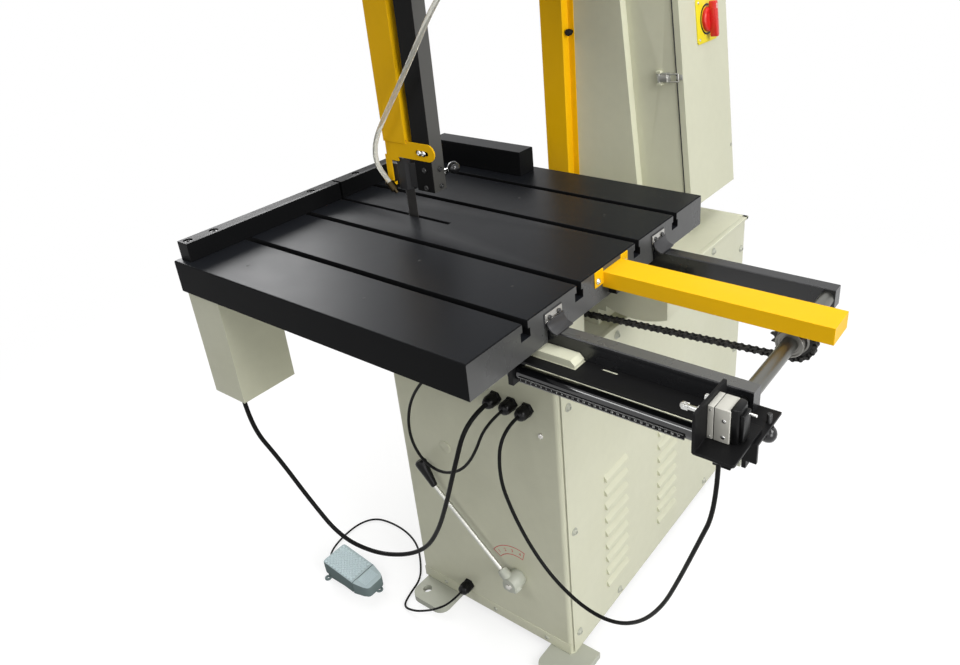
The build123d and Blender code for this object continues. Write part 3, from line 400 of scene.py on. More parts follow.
# The front rail's top, painted lighter grey: worn bright under the wiper, and a painted sheen.
RAIL_TOP_SHEEN = Blacking("rail_top_wear_and_sheen", (0.085, 0.085, 0.08), 0.28, Axis.X, edge_wear_and_highlight=1.5, smudge=0.06)
POST_BLACK = Blacking("post_black", (0.0075, 0.0075, 0.0075), 0.42, Axis.Z, gloss=0.07)
# The post's +X face, toward the key lamp, painted lighter grey: painted light on the lit side.
POST_LIT_SIDE = Blacking(
    "post_side_painted_light", (0.05, 0.049, 0.044), 0.32, Axis.Z, edge_wear_and_highlight=1.6, gloss=0.7, smudge=0.06
)
GUIDE_BLACK = Blacking(
    "guide_black", (0.03, 0.03, 0.031), 0.4, marks=0.08, gloss=0.25, smudge=0.06, wear=0.04
)
BAR_STEEL = Blacking(
    "stop_bar_steel", (0.008, 0.0085, 0.0095), 0.09, Axis.X, edge_wear_and_highlight=1.6, marks=0.02, gloss=0.9, wear=0.01
)

SCREW_BLACK = Steel("screw_black", (0.05, 0.05, 0.05), 0.34, metallic=0.7, edge_wear_and_highlight=2.2)
BARE_STEEL = Steel("ground_steel", (0.50, 0.49, 0.46), 0.3, Axis.Y, edge_wear_and_highlight=1.2, marks=0.12)
SHAFT_STEEL = Steel("shaft_steel", (0.19, 0.19, 0.175), 0.34, Axis.Y, edge_wear_and_highlight=1.25, marks=0.08, wear=0.04)
BRIGHT_STEEL = Steel("bright_steel", (0.56, 0.56, 0.545), 0.18, edge_wear_and_highlight=1.1, marks=0.04)
ROD_STEEL = Steel(
    "rod_steel", (0.52, 0.52, 0.48), 0.42, metallic=0.9, edge_wear_and_highlight=1.05, marks=0.0, smudge=0.05, wear=0.03
)
COLLAR_STEEL = Steel("collar_steel", (0.2, 0.195, 0.18), 0.34, edge_wear_and_highlight=1.5, marks=0.08)
BRASS = Steel("dark_brass", (0.036, 0.026, 0.012), 0.36, metallic=0.9)
CLASP_STEEL = Steel("clasp_steel", (0.40, 0.40, 0.37), 0.38, metallic=0.8, edge_wear_and_highlight=1.3, marks=0.05)
BLADE_STEEL = Steel("blade_steel", (0.12, 0.115, 0.11), 0.36, Axis.Z, metallic=0.9, edge_wear_and_highlight=1.8, marks=0.14)
CHAIN_STEEL = Steel("chain_steel", (0.016, 0.0155, 0.014), 0.36, metallic=0.4, edge_wear_and_highlight=1.9, marks=0.06)

BLACK_PLASTIC = Moulded("moulded_black", (0.0065, 0.0065, 0.0067), 0.36, gloss=0.18)
GLAND_PLASTIC = Moulded("gland_plastic", (0.0045, 0.0045, 0.0047), 0.3, grit=0.1, gloss=0.16)
CABLE_SHEATH = Moulded(
    "cable_sheath", (0.0058, 0.0058, 0.0056), 0.44, grit=0.12, grit_scale=900.0, gloss=0.08
)
BALL_BLACK = Moulded("ball_black", (0.008, 0.008, 0.0085), 0.12, grit=0.02)
WIPER_RUBBER = Moulded("wiper_rubber", (0.022, 0.022, 0.0235), 0.42)
RED_PLASTIC = Moulded("moulded_red", (0.62, 0.018, 0.014), 0.3, grit=0.06, dust=0.1)
GREEN_PLASTIC = Moulded("moulded_green", (0.03, 0.32, 0.07), 0.32, grit=0.06, dust=0.1)
SWITCH_GREY = Moulded("switch_grey", (0.50, 0.49, 0.44), 0.42, grit=0.12)
WHITE_MARK = Moulded("white_marks", (0.78, 0.78, 0.76), 0.5, grit=0.05)
RED_MARK = Moulded("red_marks", (0.55, 0.05, 0.045), 0.5, grit=0.05)
# Near-black for the painted shade of the table's tapped holes, and for the limit switch's dark seam.
HOLE_SHADE_AND_SEAM = Moulded("hole_shade_and_seam", (0.006, 0.006, 0.006), 0.6, grit=0.05)
HOSE_PLASTIC = ClearHose("hose_plastic", (0.76, 0.75, 0.68), 0.16, clearness=0.62)


# Meshes


def link(name: str, data: bpy.types.ID) -> bpy.types.Object:
    """Puts data into the scene as an object.

    Args:
        name: The object's name.
        data: Its mesh, curve, camera or lamp.

    Returns:
        The object.
    """
    obj = bpy.data.objects.new(name, data)
    bpy.context.scene.collection.objects.link(obj)
    return obj


def plain_mesh(carrier: bpy.types.Object) -> bpy.types.Mesh:
    """Turns an object with its modifiers into a plain mesh.

    Args:
        carrier: The object, which is removed.

    Returns:
        The mesh.
    """
    bpy.context.view_layer.update()
    graph = bpy.context.evaluated_depsgraph_get()
    mesh = bpy.data.meshes.new_from_object(carrier.evaluated_get(graph), depsgraph=graph)
    carrier.modifiers.clear()
    bpy.data.objects.remove(carrier)
    return mesh


def settle(
    mesh: bpy.types.Mesh, name: str, body: Body | None, slot: str, *nodes: str, smooth: float = SMOOTH_ANGLE
) -> bpy.types.Object:
    """Makes a finished mesh a piece at the origin.

    Args:
        mesh: The finished mesh.
        name: The piece's name.
        body: What it rides on, or None where it runs between two bodies.
        slot: The material slot it belongs to; not used.
        nodes: The CAD nodes it stands for.
        smooth: Edges flatter than this many degrees are shaded smooth; 0 leaves the shading as it is.

    Returns:
        The piece.
    """
    mesh.name = name
    if smooth:
        mesh.polygons.foreach_set("use_smooth", [True] * len(mesh.polygons))
        mesh.set_sharp_from_angle(angle=math.radians(smooth))
    obj = link(name, mesh)
    if body is not None:
        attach(obj, body.value)
    if nodes:
        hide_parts(*nodes)
    log.info("%s: %d faces on %s", name, len(mesh.polygons), body.value if body else "two bodies")
    return obj


def dress(finish: Finish, *nodes: str) -> None:
    """Gives CAD nodes a finish.

    Args:
        finish: The finish.
        nodes: The nodes' names.
    """
    for node in nodes:
        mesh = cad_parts[node].data
        mesh.materials.clear()
        mesh.materials.append(finish.material())


def turned(direction: Vector, along: Vector) -> Matrix:
    """A rotation whose Z is a direction and whose X is as near as can be to another.

    Args:
        direction: Where Z goes.
        along: Where X goes, about.

    Returns:
        The rotation as a 4 by 4 matrix.
    """
    z_axis = direction.normalized()
    y_axis = z_axis.cross(along).normalized()
    x_axis = y_axis.cross(z_axis)
    return Matrix((x_axis, y_axis, z_axis)).transposed().to_4x4()


def quarter(first: float, steps: int) -> list[float]:
    """Angles in radians through a quarter turn, from a number of quarter turns on."""
    return [math.pi / 2 * (first + step / steps) for step in range(steps + 1)]


class Shape:
    """A mesh in the making, in metres, in the saw's own frame or in one that has a place in it."""

    def __init__(self, place: Matrix | None = None) -> None:
        """Starts an empty mesh.

        Args:
            place: Where all its parts go, or None for the saw's own frame.
        """
        self.bm = bmesh.new()
        self.place = place
        self.finishes: list[Finish] = []

    def index(self, finish: Finish) -> int:
        """Finds a finish among those of this mesh, or adds it.

        Args:
            finish: The finish.

        Returns:
            Its material index.
        """
        if finish not in self.finishes:
            self.finishes.append(finish)
        return self.finishes.index(finish)

    def take(self, part: bmesh.types.BMesh, finish: Finish, top: Finish | None = None) -> None:
        """Joins a part into the mesh.

        Args:
            part: The part, which is freed.
            finish: What it is finished in.
            top: Another finish for the faces that look up; the pedal uses a lighter copy there as painted
                light.
        """
        if self.place is not None:
            bmesh.ops.transform(part, matrix=self.place, verts=part.verts)
        number = self.index(finish)
        # Faces that look up take the top finish: painted light on the pedal.
        upper = self.index(top) if top else number
        part.normal_update()
        for face in part.faces:
            face.material_index = upper if face.normal.z > LIT_TOP_NORMAL_Z else number
        made = bpy.data.meshes.new("part")
        part.to_mesh(made)
        part.free()
        self.bm.from_mesh(made)
        bpy.data.meshes.remove(made)

    def block(self, low: Vector, high: Vector, finish: Finish, bevel: float = 0.0) -> None:
        """Adds a box with rounded edges.

        Args:
            low: Lowest corner.
            high: Highest corner.
            finish: Its finish.
            bevel: Edge radius in millimetres.
        """
        part = bmesh.new()
        bmesh.ops.create_cube(part, size=1.0)
        scale = Matrix.Diagonal((*(high - low), 1.0))
        bmesh.ops.transform(part, matrix=Matrix.Translation((low + high) / 2) @ scale, verts=part.verts)
        if bevel:
            bmesh.ops.bevel(
                part, geom=part.edges[:], offset=bevel * MM, segments=3, profile=0.5, affect="EDGES"
            )
        self.take(part, finish)

    def loft(
        self,
        rings: Sequence[Sequence[Vector]],
        finish: Finish,
        top: Finish | None = None,
        hollow: bool = False,
    ) -> None:
        """Adds a skin over a row of rings of equal count.

        Args:
            rings: The rings' points, in metres.
            finish: Its finish.
            top: Another finish for the faces that look up; the pedal uses a lighter copy there as painted
                light.
            hollow: Whether the last ring joins the first, or both ends are closed.
        """
        part = bmesh.new()
        rows = [[part.verts.new(point) for point in ring] for ring in rings]
        for first, second in zip(rows, rows[1:] + rows[:1] if hollow else rows[1:]):
            for step, corner in enumerate(first):
                part.faces.new((first[step - 1], corner, second[step], second[step - 1]))
        if not hollow:
            part.faces.new(rows[0][::-1])
            part.faces.new(rows[-1])
        bmesh.ops.recalc_face_normals(part, faces=part.faces)
        self.take(part, finish, top)

    def lathe(
        self,
        profile: Sequence[Pair],
        start: Vector,
        axis: Vector,
        finish: Finish,
        sides: int = 32,
        hollow: bool = False,
    ) -> None:
        """Adds a turned shape.

        Args:
            profile: (distance along the axis, radius) pairs in millimetres, from the start on.
            start: Where the axis starts.
            axis: Its direction.
            finish: The finish.
            sides: Steps round the axis.
            hollow: Whether the profile is a closed outline round an open middle.
        """
        upright = axis.normalized().to_track_quat("Z", "Y").to_matrix()
        turns = [2 * math.pi * step / sides for step in range(sides)]
        rings = []
        for along, radius in profile:
            ring = [at(radius * math.cos(turn), radius * math.sin(turn), along) for turn in turns]
            rings.append([start + upright @ point for point in ring])
        self.loft(rings, finish, hollow=hollow)

    def wire(self, start: Vector, end: Vector, radius: float, finish: Finish) -> None:
        """Adds a thin wire with round ends.

        Args:
            start: One end.
            end: The other end.
            radius: In millimetres.
            finish: Its finish.
        """
        length = (end - start).length / MM
        bow = radius * 0.6
        profile = [(-radius, bow * 0.4), (-bow, radius * 0.8), (0, radius), (length, radius)]
        profile += [(length + bow, radius * 0.8), (length + radius, bow * 0.4)]
        self.lathe(profile, start, end - start, finish, 14)

    def rod(self, start: Vector, end: Vector, radius: float, finish: Finish, sides: int = 32) -> None:
        """Adds a round bar with softened ends.

        Args:
            start: One end.
            end: The other end.
            radius: In millimetres.
            finish: Its finish.
            sides: Steps round the bar.
        """
        length, bevel = (end - start).length / MM, 0.4
        profile = [(0, radius - bevel), (bevel, radius), (length - bevel, radius), (length, radius - bevel)]
        self.lathe(profile, start, end - start, finish, sides)

    def prism(self, outline: Sequence[Vector], push: Vector, finish: Finish, bevel: float = 0.0) -> None:
        """Adds a flat outline carried along a vector.

        Args:
            outline: The corners in order, in metres.
            push: How far and which way the outline is carried.
            finish: Its finish.
            bevel: Edge radius in millimetres.
        """
        part = bmesh.new()
        face = part.faces.new([part.verts.new(p) for p in outline])
        pushed = bmesh.ops.extrude_face_region(part, geom=[face])
        moved = [g for g in pushed["geom"] if isinstance(g, bmesh.types.BMVert)]
        bmesh.ops.translate(part, vec=push, verts=moved)
        bmesh.ops.recalc_face_normals(part, faces=part.faces)
        if bevel:
            sharp = [e for e in part.edges if e.calc_face_angle(0.0) > math.radians(35)]
            bmesh.ops.bevel(part, geom=sharp, offset=bevel * MM, segments=2, profile=0.5, affect="EDGES")
        self.take(part, finish)

    def lettering(self, words: str, size: float, place: Matrix, finish: Finish) -> None:
        """Adds flat numerals a little proud of a surface.

        Args:
            words: The numerals.
            size: Their height in metres.
            place: A matrix whose X reads along the line and whose Z faces the reader.
            finish: Their finish.
        """
        curve = bpy.data.curves.new("numerals", "FONT")
        curve.body = words
        curve.size = size
        curve.align_x = "CENTER"
        curve.align_y = "CENTER"
        curve.extrude = 0.00012
        curve.resolution_u = 3
        flat = plain_mesh(link("numerals", curve))
        part = bmesh.new()
        part.from_mesh(flat)
        bpy.data.meshes.remove(flat)
        bmesh.ops.transform(part, matrix=place, verts=part.verts)
        self.take(part, finish)

    def piece(self, name: str, body: Body, slot: str, *nodes: str) -> None:
        """Turns the mesh into a piece that rides on a body.

        Args:
            name: The piece's name.
            body: What it rides on.
            slot: The material slot it belongs to.
            nodes: The CAD nodes it stands for.
        """
        mesh = bpy.data.meshes.new(name)
        self.bm.to_mesh(mesh)
        self.bm.free()
        for finish in self.finishes:
            mesh.materials.append(finish.material())
        settle(mesh, name, body, slot, *nodes)


# Geometry Nodes


class Growth:
    """A Geometry Nodes tree built here, grown on points and turned into a plain mesh."""

    def __init__(self, name: str) -> None:
        """Starts a tree with a geometry input and output.

        Args:
            name: The tree's name, and that of the piece it makes.
        """
        self.name = name
        self.tree = bpy.data.node_groups.new(name, "GeometryNodeTree")
        face = self.tree.interface
        face.new_socket("Points", in_out="INPUT", socket_type="NodeSocketGeometry")
        face.new_socket("Mesh", in_out="OUTPUT", socket_type="NodeSocketGeometry")
        self.entry = self.tree.nodes.new("NodeGroupInput")
        self.exit = self.tree.nodes.new("NodeGroupOutput")
        self.values: dict[str, Any] = {}

    def put_in(self, name: str, kind: str, value: Any) -> Socket:
        """Adds a named input.

        Args:
            name: The input's name.
            kind: The type name of its socket.
            value: Its value.

        Returns:
            The socket that carries it inside the tree.
        """
        made = self.tree.interface.new_socket(name, in_out="INPUT", socket_type=kind)
        self.values[made.identifier] = value
        return self.entry.outputs[name]

    def size(self, name: str, value: float) -> Socket:
        """Adds a named size, in metres or as a number."""
        return self.put_in(name, "NodeSocketFloat", float(value))

    def painted(self, shape: Socket, finish: Finish, name: str = "Finish") -> Socket:
        """Sets a shape's material through a named input."""
        material = self.put_in(name, "NodeSocketMaterial", finish.material())
        return self.add("GeometryNodeSetMaterial", {"Geometry": shape, "Material": material})

    def add(self, kind: str, sockets: dict[Any, Any] | None = None, **settings: Any) -> Socket:
        """Adds a node.

        Args:
            kind: The node's type name.
            sockets: Values or sockets for its inputs; a list joins several into one input.
            settings: Other settings of the node.

        Returns:
            The node's first output that is in use.
        """
        node = self.tree.nodes.new(kind)
        for key, value in settings.items():
            setattr(node, key, value)
        for key, value in (sockets or {}).items():
            for single in value if isinstance(value, list) else [value]:
                if isinstance(single, Socket):
                    self.tree.links.new(single, node.inputs[key])
                else:
                    node.inputs[key].default_value = single
        return next(o for o in node.outputs if o.enabled)

    def math(self, operation: str, first: Any, second: Any = 0.0) -> Socket:
        """Adds a sum of two numbers or sockets."""
        return self.add("ShaderNodeMath", {0: first, 1: second}, operation=operation)

    def times(self, first: Any, second: Any) -> Socket:
        """Adds a product of two numbers or sockets."""
        return self.math("MULTIPLY", first, second)

    def vector(self, x: Any = 0.0, y: Any = 0.0, z: Any = 0.0) -> Socket:
        """Adds a vector made of three numbers or sockets."""
        return self.add("ShaderNodeCombineXYZ", {0: x, 1: y, 2: z})

    def cylinder(self, radius: Any, depth: Any, sides: int) -> Socket:
        """Adds a cylinder along Z, centred on the origin."""
        return self.add("GeometryNodeMeshCylinder", {"Vertices": sides, "Radius": radius, "Depth": depth})

    def cone(self, top: Any, bottom: Any, depth: Any, sides: int) -> Socket:
        """Adds a cone that stands on the origin along Z."""
        sockets = {"Vertices": sides, "Radius Top": top, "Radius Bottom": bottom, "Depth": depth}
        return self.add("GeometryNodeMeshCone", sockets)

    def cube(self, *sides: Any) -> Socket:
        """Adds a box centred on the origin, with three sides along X, Y and Z in metres or as sockets."""
        return self.add("GeometryNodeMeshCube", {"Size": self.vector(*sides)})

    def bar(self, **sides: float) -> Socket:
        """Adds a box whose three sides are named inputs, given in millimetres along X, Y and Z."""
        return self.cube(*(self.size(name.replace("_", " "), side * MM) for name, side in sides.items()))

    def move(
        self, shape: Socket, shift: Any = (0, 0, 0), turn: Point = (0, 0, 0), scale: Any = (1, 1, 1)
    ) -> Socket:
        """Scales, turns and moves a shape."""
        sockets = {"Geometry": shape, "Translation": shift, "Rotation": turn, "Scale": scale}
        return self.add("GeometryNodeTransform", sockets)

    def join(self, *shapes: Socket) -> Socket:
        """Joins shapes into one."""
        return self.add("GeometryNodeJoinGeometry", {0: list(shapes)})

    def cut(self, shape: Socket, tool: Socket) -> Socket:
        """Cuts one shape out of another."""
        return self.add("GeometryNodeMeshBoolean", {0: shape, 1: tool}, operation="DIFFERENCE")

    def heading(self) -> Socket:
        """The rotation held in the points' facing and along attributes.

        Returns:
            The rotation, with Z to the facing and X near the along.
        """
        facing, along = (
            self.add("GeometryNodeInputNamedAttribute", {"Name": name}, data_type="FLOAT_VECTOR")
            for name in ("facing", "along")
        )
        first = self.add("FunctionNodeAlignRotationToVector", {"Vector": facing}, axis="Z")
        sockets = {"Rotation": first, "Vector": along}
        return self.add("FunctionNodeAlignRotationToVector", sockets, axis="X", pivot_axis="Z")

    def spread(self, shape: Socket, chosen: Any = True) -> Socket:
        """Puts a copy of a shape on each chosen point, turned as the point says."""
        sockets = {"Points": self.entry.outputs["Points"], "Instance": shape, "Selection": chosen}
        return self.add("GeometryNodeInstanceOnPoints", {**sockets, "Rotation": self.heading()})

    def piece(
        self,
        copies: Socket,
        points: Sequence[Spot],
        finish: Finish | None,
        body: Body,
        slot: str,
        *nodes: str,
    ) -> None:
        """Ends the tree, runs it on the points and makes a piece of the plain mesh.

        Args:
            copies: The socket that holds the spread copies.
            points: Place, facing (Z) and along (X) of each copy.
            finish: The finish, or None where the copies have theirs.
            body: What the piece rides on.
            slot: The material slot it belongs to.
            nodes: The CAD nodes it stands for.
        """
        whole = self.add("GeometryNodeRealizeInstances", {"Geometry": copies})
        if finish is not None:
            whole = self.painted(whole, finish)
        self.tree.links.new(whole, self.exit.inputs["Mesh"])
        seed = bpy.data.meshes.new("points")
        seed.from_pydata([place for place, _, _ in points], [], [])
        for name, column in (("facing", 1), ("along", 2)):
            values = seed.attributes.new(name, "FLOAT_VECTOR", "POINT")
            values.data.foreach_set("vector", [c for point in points for c in point[column]])
        carrier = link("carrier", seed)
        modifier = carrier.modifiers.new("grow", "NODES")
        modifier.node_group = self.tree
        for identifier, value in self.values.items():
            modifier[identifier] = value
        mesh = plain_mesh(carrier)
        for name in ("facing", "along"):
            if name in mesh.attributes:
                mesh.attributes.remove(mesh.attributes[name])
        settle(mesh, self.name, body, slot, *nodes)


class Drive(Enum):
    """How a screw head is driven."""

    SOCKET = 6
    SLOT = 4
    PLAIN = 0


@dataclass
class ScrewSet:
    """Screws of one kind that sit on the surfaces of one body."""

    name: str
    body: Body
    slot: str
    finish: Finish
    radius: float
    height: float
    drive: Drive = Drive.SOCKET
    washer: float = 0.0
    domed: bool = False
    washer_thickness: float = 1.4
    turn_step: float = 0.7

    def build(self, spots: Sequence[tuple[Vector, Vector]], *nodes: str) -> None:
        """Grows the screws.

        Args:
            spots: Foot and facing of each head.
            nodes: The CAD nodes they stand for.
        """
        tree = Growth(self.name)
        radius = tree.size("Head Radius", self.radius * MM)
        height = tree.size("Head Height", self.height * MM)
        edge_share, wall_share = (0.62, 0.45) if self.domed else (0.9, 0.8)
        wall = tree.times(height, wall_share)
        cap = tree.math("SUBTRACT", height, wall)
        drum = tree.move(tree.cylinder(radius, wall, 24), tree.vector(z=tree.times(wall, 0.5)))
        crown = tree.move(tree.cone(tree.times(radius, edge_share), radius, cap, 24), tree.vector(z=wall))
        head = tree.add("GeometryNodeMeshBoolean", {1: [drum, crown]}, operation="UNION")
        if self.drive is Drive.SOCKET:
            hole = tree.cylinder(tree.times(radius, 0.52), height, Drive.SOCKET.value)
            head = tree.cut(head, tree.move(hole, tree.vector(z=tree.times(height, 0.95))))
        elif self.drive is Drive.SLOT:
            groove = tree.cube(tree.times(radius, 3.0), tree.times(radius, 0.26), height)
            head = tree.cut(head, tree.move(groove, tree.vector(z=tree.times(height, 1.2))))
        if self.washer:
            wide = tree.size("Washer Radius", self.washer * MM)
            thick = self.washer_thickness * MM
            disc = tree.cylinder(wide, tree.size("Washer Thickness", thick), 28)
            head = tree.join(head, tree.move(disc, (0, 0, thick / 2)))
        points = []
        for number, (foot, facing) in enumerate(spots):
            side = facing.orthogonal().normalized()
            points.append((foot, facing, Matrix.Rotation(self.turn_step * number, 3, facing) @ side))
        tree.piece(tree.spread(head), points, self.finish, self.body, self.slot, *nodes)


# Camera, light and floor


@dataclass
class PhotoCamera:
    """The camera of the photograph, as fitted to the table's edges."""

    place: Point = (0.9113, -1.3927, 1.5388)
    azimuth: float = 37.21
    elevation: float = 27.18
    roll: float = -3.73
    focal_pixels: float = 805.8
    centre_pixels: Pair = (541.9, 292.4)
    image_pixels: Pair = (960.0, 665.0)
    sensor: float = 36.0
    far_limit: float = 60.0

    def build(self) -> None:
        """Makes the camera and the scene's view transform."""
        azimuth, elevation, roll = (math.radians(a) for a in (self.azimuth, self.elevation, self.roll))
        flat = math.cos(elevation)
        back = Vector((math.sin(azimuth) * flat, -math.cos(azimuth) * flat, math.sin(elevation)))
        level = (-back).cross(UP).normalized()
        upright = level.cross(-back)
        right = math.cos(roll) * level + math.sin(roll) * upright
        up = -math.sin(roll) * level + math.cos(roll) * upright
        width, height = self.image_pixels
        data = bpy.data.cameras.new("photo_camera")
        data.sensor_width = self.sensor
        data.lens = self.focal_pixels / width * self.sensor
        data.shift_x = (width / 2 - self.centre_pixels[0]) / width
        data.shift_y = (self.centre_pixels[1] - height / 2) / width
        data.clip_end = self.far_limit
        camera = link("photo_camera", data)
        turn = Matrix((right, up, back)).transposed().to_4x4()
        camera.matrix_world = Matrix.Translation(self.place) @ turn
        bpy.context.scene.camera = camera
        bpy.context.scene.view_settings.view_transform = "Standard"


@dataclass
class Studio:
    """A white floor, a white surround and soft lamps, brightest from the right and above."""

    floor_size: float = 60.0
    surround: float = 0.115
    floor_tone: float = 0.34
    floor_glow: float = 0.7
    shadow_reach: Pair = (0.9, 2.6)

    def lamp(self, name: str, place: Point, target: Point, size: Pair, power: float) -> None:
        """Adds a soft oblong lamp.

        Args:
            name: The lamp's name.
            place: Where it hangs.
            target: What it points at.
            size: Its width and height in metres.
            power: Its power in watts.
        """
        data = bpy.data.lights.new(name, "AREA")
        data.shape = "RECTANGLE"
        data.size, data.size_y = size
        data.energy = power
        aim = (Vector(target) - Vector(place)).to_track_quat("-Z", "Y")
        link(name, data).matrix_world = Matrix.Translation(place) @ aim.to_matrix().to_4x4()

    def shown(self, nodes: bpy.types.Nodes, links: bpy.types.NodeLinks) -> Socket:
        """A factor that is 1 for camera, glossy and transmission rays.

        Args:
            nodes: The nodes of the tree that gets it.
            links: The links of that tree.

        Returns:
            The factor.
        """
        path = nodes.new("ShaderNodeLightPath")
        total = path.outputs["Is Camera Ray"]
        for other in ("Is Glossy Ray", "Is Transmission Ray"):
            both = nodes.new("ShaderNodeMath")
            both.operation = "MAXIMUM"
            links.new(total, both.inputs[0])
            links.new(path.outputs[other], both.inputs[1])
            total = both.outputs[0]
        return total

    def world(self) -> None:
        """Makes the surround: white to look at, dimmer as a light."""
        world = bpy.data.worlds.new("surround")
        bpy.context.scene.world = world
        world.use_nodes = True
        nodes, links = world.node_tree.nodes, world.node_tree.links
        back = nodes["Background"]
        back.inputs["Color"].default_value = (1.0, 1.0, 1.0, 1.0)
        strength = nodes.new("ShaderNodeMapRange")
        strength.inputs["To Min"].default_value = self.surround
        strength.inputs["To Max"].default_value = 1.0
        links.new(self.shown(nodes, links), strength.inputs["Value"])
        links.new(strength.outputs[0], back.inputs["Strength"])

    def floor(self) -> None:
        """Makes the floor, which glows towards white away from the saw and keeps its shadow near it."""
        half = self.floor_size / 2
        mesh = bpy.data.meshes.new("floor")
        corners = [(-half, -half, 0), (half, -half, 0), (half, half, 0), (-half, half, 0)]
        mesh.from_pydata(corners, [], [(0, 1, 2, 3)])
        tree = ShaderTree("pale_floor")
        distance = tree.add("ShaderNodeVectorMath", {0: tree.place}, operation="LENGTH").outputs["Value"]
        away = tree.ramp(distance, 0.0, 1.0, *self.shadow_reach, interpolation_type="SMOOTHERSTEP")
        plain, speck = ((tone,) * 3 for tone in (self.floor_tone, self.floor_tone * 1.04))
        glow = tree.ramp(away, self.floor_glow, 1.0, 0.0, 1.0)
        seen = tree.add(
            "ShaderNodeMath", {0: glow, 1: self.shown(tree.nodes, tree.links)}, operation="MULTIPLY"
        )
        tree.feed(
            Base_Color=tree.mix(away, tree.mix(tree.noise(3.0, 3.0), plain, speck), (0.0, 0.0, 0.0)),
            Roughness=0.9,
            Specular_IOR_Level=0.0,
            Emission_Color=(1.0, 1.0, 1.0),
            Emission_Strength=seen.outputs[0],
        )
        mesh.materials.append(tree.material)
        link("floor", mesh)

    def build(self) -> None:
        """Makes the world, the floor and the lamps."""
        self.world()
        self.floor()
        self.lamp("key", (3.9, -0.5, 2.9), (0.0, -0.1, 0.8), (2.2, 2.2), 146)
        self.lamp("top", (0.3, -0.3, 5.2), (0.0, -0.2, 0.8), (3.0, 3.0), 122)
        self.lamp("fill", (1.3, -4.0, 2.8), (0.0, 0.0, 1.1), (2.4, 2.4), 36)
        self.lamp("side", (3.4, -1.9, 0.9), (-0.2, -0.5, 0.7), (1.6, 1.2), 36)
        self.lamp("back", (-3.8, 0.9, 2.3), (0.0, 0.0, 1.0), (2.0, 2.0), 100)
        self.lamp("strip", (-1.15, -2.8, 3.1), (0.4, -0.5, 0.8), (1.5, 0.6), 20)


# Cables


@dataclass
class Cable:
    """A cable or hose on its route, from a fixed end to the piece that it feeds."""

    name: str
    node: str
    diameter: float
    length: float
    route: Sequence[Point]
    finish: Finish
    slot: str
    carried: Body | None = None
    stiffness: str = "medium"
    lay: str = "hanging"

    def line(self, depth: float) -> bpy.types.Mesh:
        """The route as a smooth spline.

        Args:
            depth: Radius of a tube round it in metres, or 0 for the bare line.

        Returns:
            A plain mesh of the tube or of the line's points.
        """
        curve = bpy.data.curves.new(self.name, "CURVE")
        curve.dimensions = "3D"
        curve.resolution_u = 10
        curve.bevel_depth = depth
        curve.bevel_resolution = 5
        curve.use_fill_caps = True
        spline = curve.splines.new("NURBS")
        spline.points.add(len(self.route) - 1)
        for point, spot in zip(spline.points, self.route):
            point.co = (*at(*spot), 1.0)
        spline.order_u = 3
        spline.use_endpoint_u = True
        return plain_mesh(link(self.name, curve))

    def build(self) -> None:
        path = [tuple(v.co) for v in self.line(0.0).vertices]
        tube = self.line(self.diameter * MM / 2)
        tube.materials.clear()
        tube.materials.append(self.finish.material())
        obj = settle(
            tube, self.name, None if self.carried else Body.FRAME, self.slot, self.node, smooth=60.0
        )
        if self.carried:
            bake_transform(obj)


CABLES = (
    Cable(
        "control_lead", "control_cable", 9.5, 1.118,
        (
            (43, -446, 650), (43, -508, 650), (24, -538, 545), (-12, -535, 445), (-48, -534, 355),
            (-92, -536, 282), (-155, -545, 235), (-238, -563, 213), (-322, -584, 236), (-382, -600, 330),
            (-430, -620, 440), (-462, -645, 530), (-462, -645, 615),
        ),
        CABLE_SHEATH, "black_rubber", Body.TABLE,
    ),
    Cable(
        "sensor_lead", "sensor_cable", 6.0, 0.652,
        (
            (82, -446, 650), (82, -500, 650), (66, -522, 586), (24, -520, 530), (-34, -518, 498),
            (-88, -517, 512), (-113, -516, 566), (-100, -514, 640), (-58, -512, 706), (0, -505, 758),
            (0, -505, 824),
        ),
        CABLE_SHEATH, "black_rubber",
    ),
    Cable(
        "switch_lead", "switch_cable", 7.0, 1.089,
        (
            (120, -446, 650), (120, -502, 650), (124, -524, 565), (146, -518, 478), (182, -513, 402),
            (232, -511, 345), (300, -513, 315), (368, -522, 330), (430, -537, 388), (478, -551, 470),
            (513, -564, 565), (545, -575, 660), (573, -580, 745), (573, -580, 836),
        ),
        CABLE_SHEATH, "black_rubber", Body.CARRIAGE,
    ),
    Cable(
        "pedal_lead", "pedal_cable", 5.0, 0.793,
        (
            (-472, -512, 12), (-500, -512, 12), (-526, -478, 4), (-537, -430, 3), (-536, -376, 3),
            (-512, -338, 3), (-462, -327, 3), (-400, -330, 3), (-343, -350, 3), (-294, -390, 3),
            (-256, -432, 3), (-246, -480, 3), (-232, -518, 4), (-196, -517, 10), (-160, -512, 28),
            (-122, -516, 60), (-98, -490, 68), (-98, -446, 68),
        ),
        CABLE_SHEATH, "black_rubber", lay="loose",
    ),
    Cable(
        "coolant_tube", "coolant_hose", 10.0, 0.504,
        (
            (-39, -351, 1434), (-39, -351, 1390), (-80, -351, 1345), (-128, -351, 1280),
            (-176, -351, 1217), (-224, -351, 1157), (-262, -351, 1105), (-272, -350, 1062),
            (-257, -347, 1034), (-241, -345, 1014),
        ),
        HOSE_PLASTIC, "clear_hose", Body.POST,
    ),
)


# Sub-assemblies


Choice = Callable[[Vector, Vector], bool]


def facing(axis: Axis) -> Choice:
    """Chooses the faces that look along an axis."""
    return lambda centre, normal: normal.dot(axis.vector) > FACING


def worn_sheen_rail_top(centre: Vector, normal: Vector) -> bool:
    """Chooses the top of the front rail, painted lighter: worn bright under the table's wiper, and a painted
    sheen.
    """
    return normal.z > FACING and centre.y < FRONT_RAIL


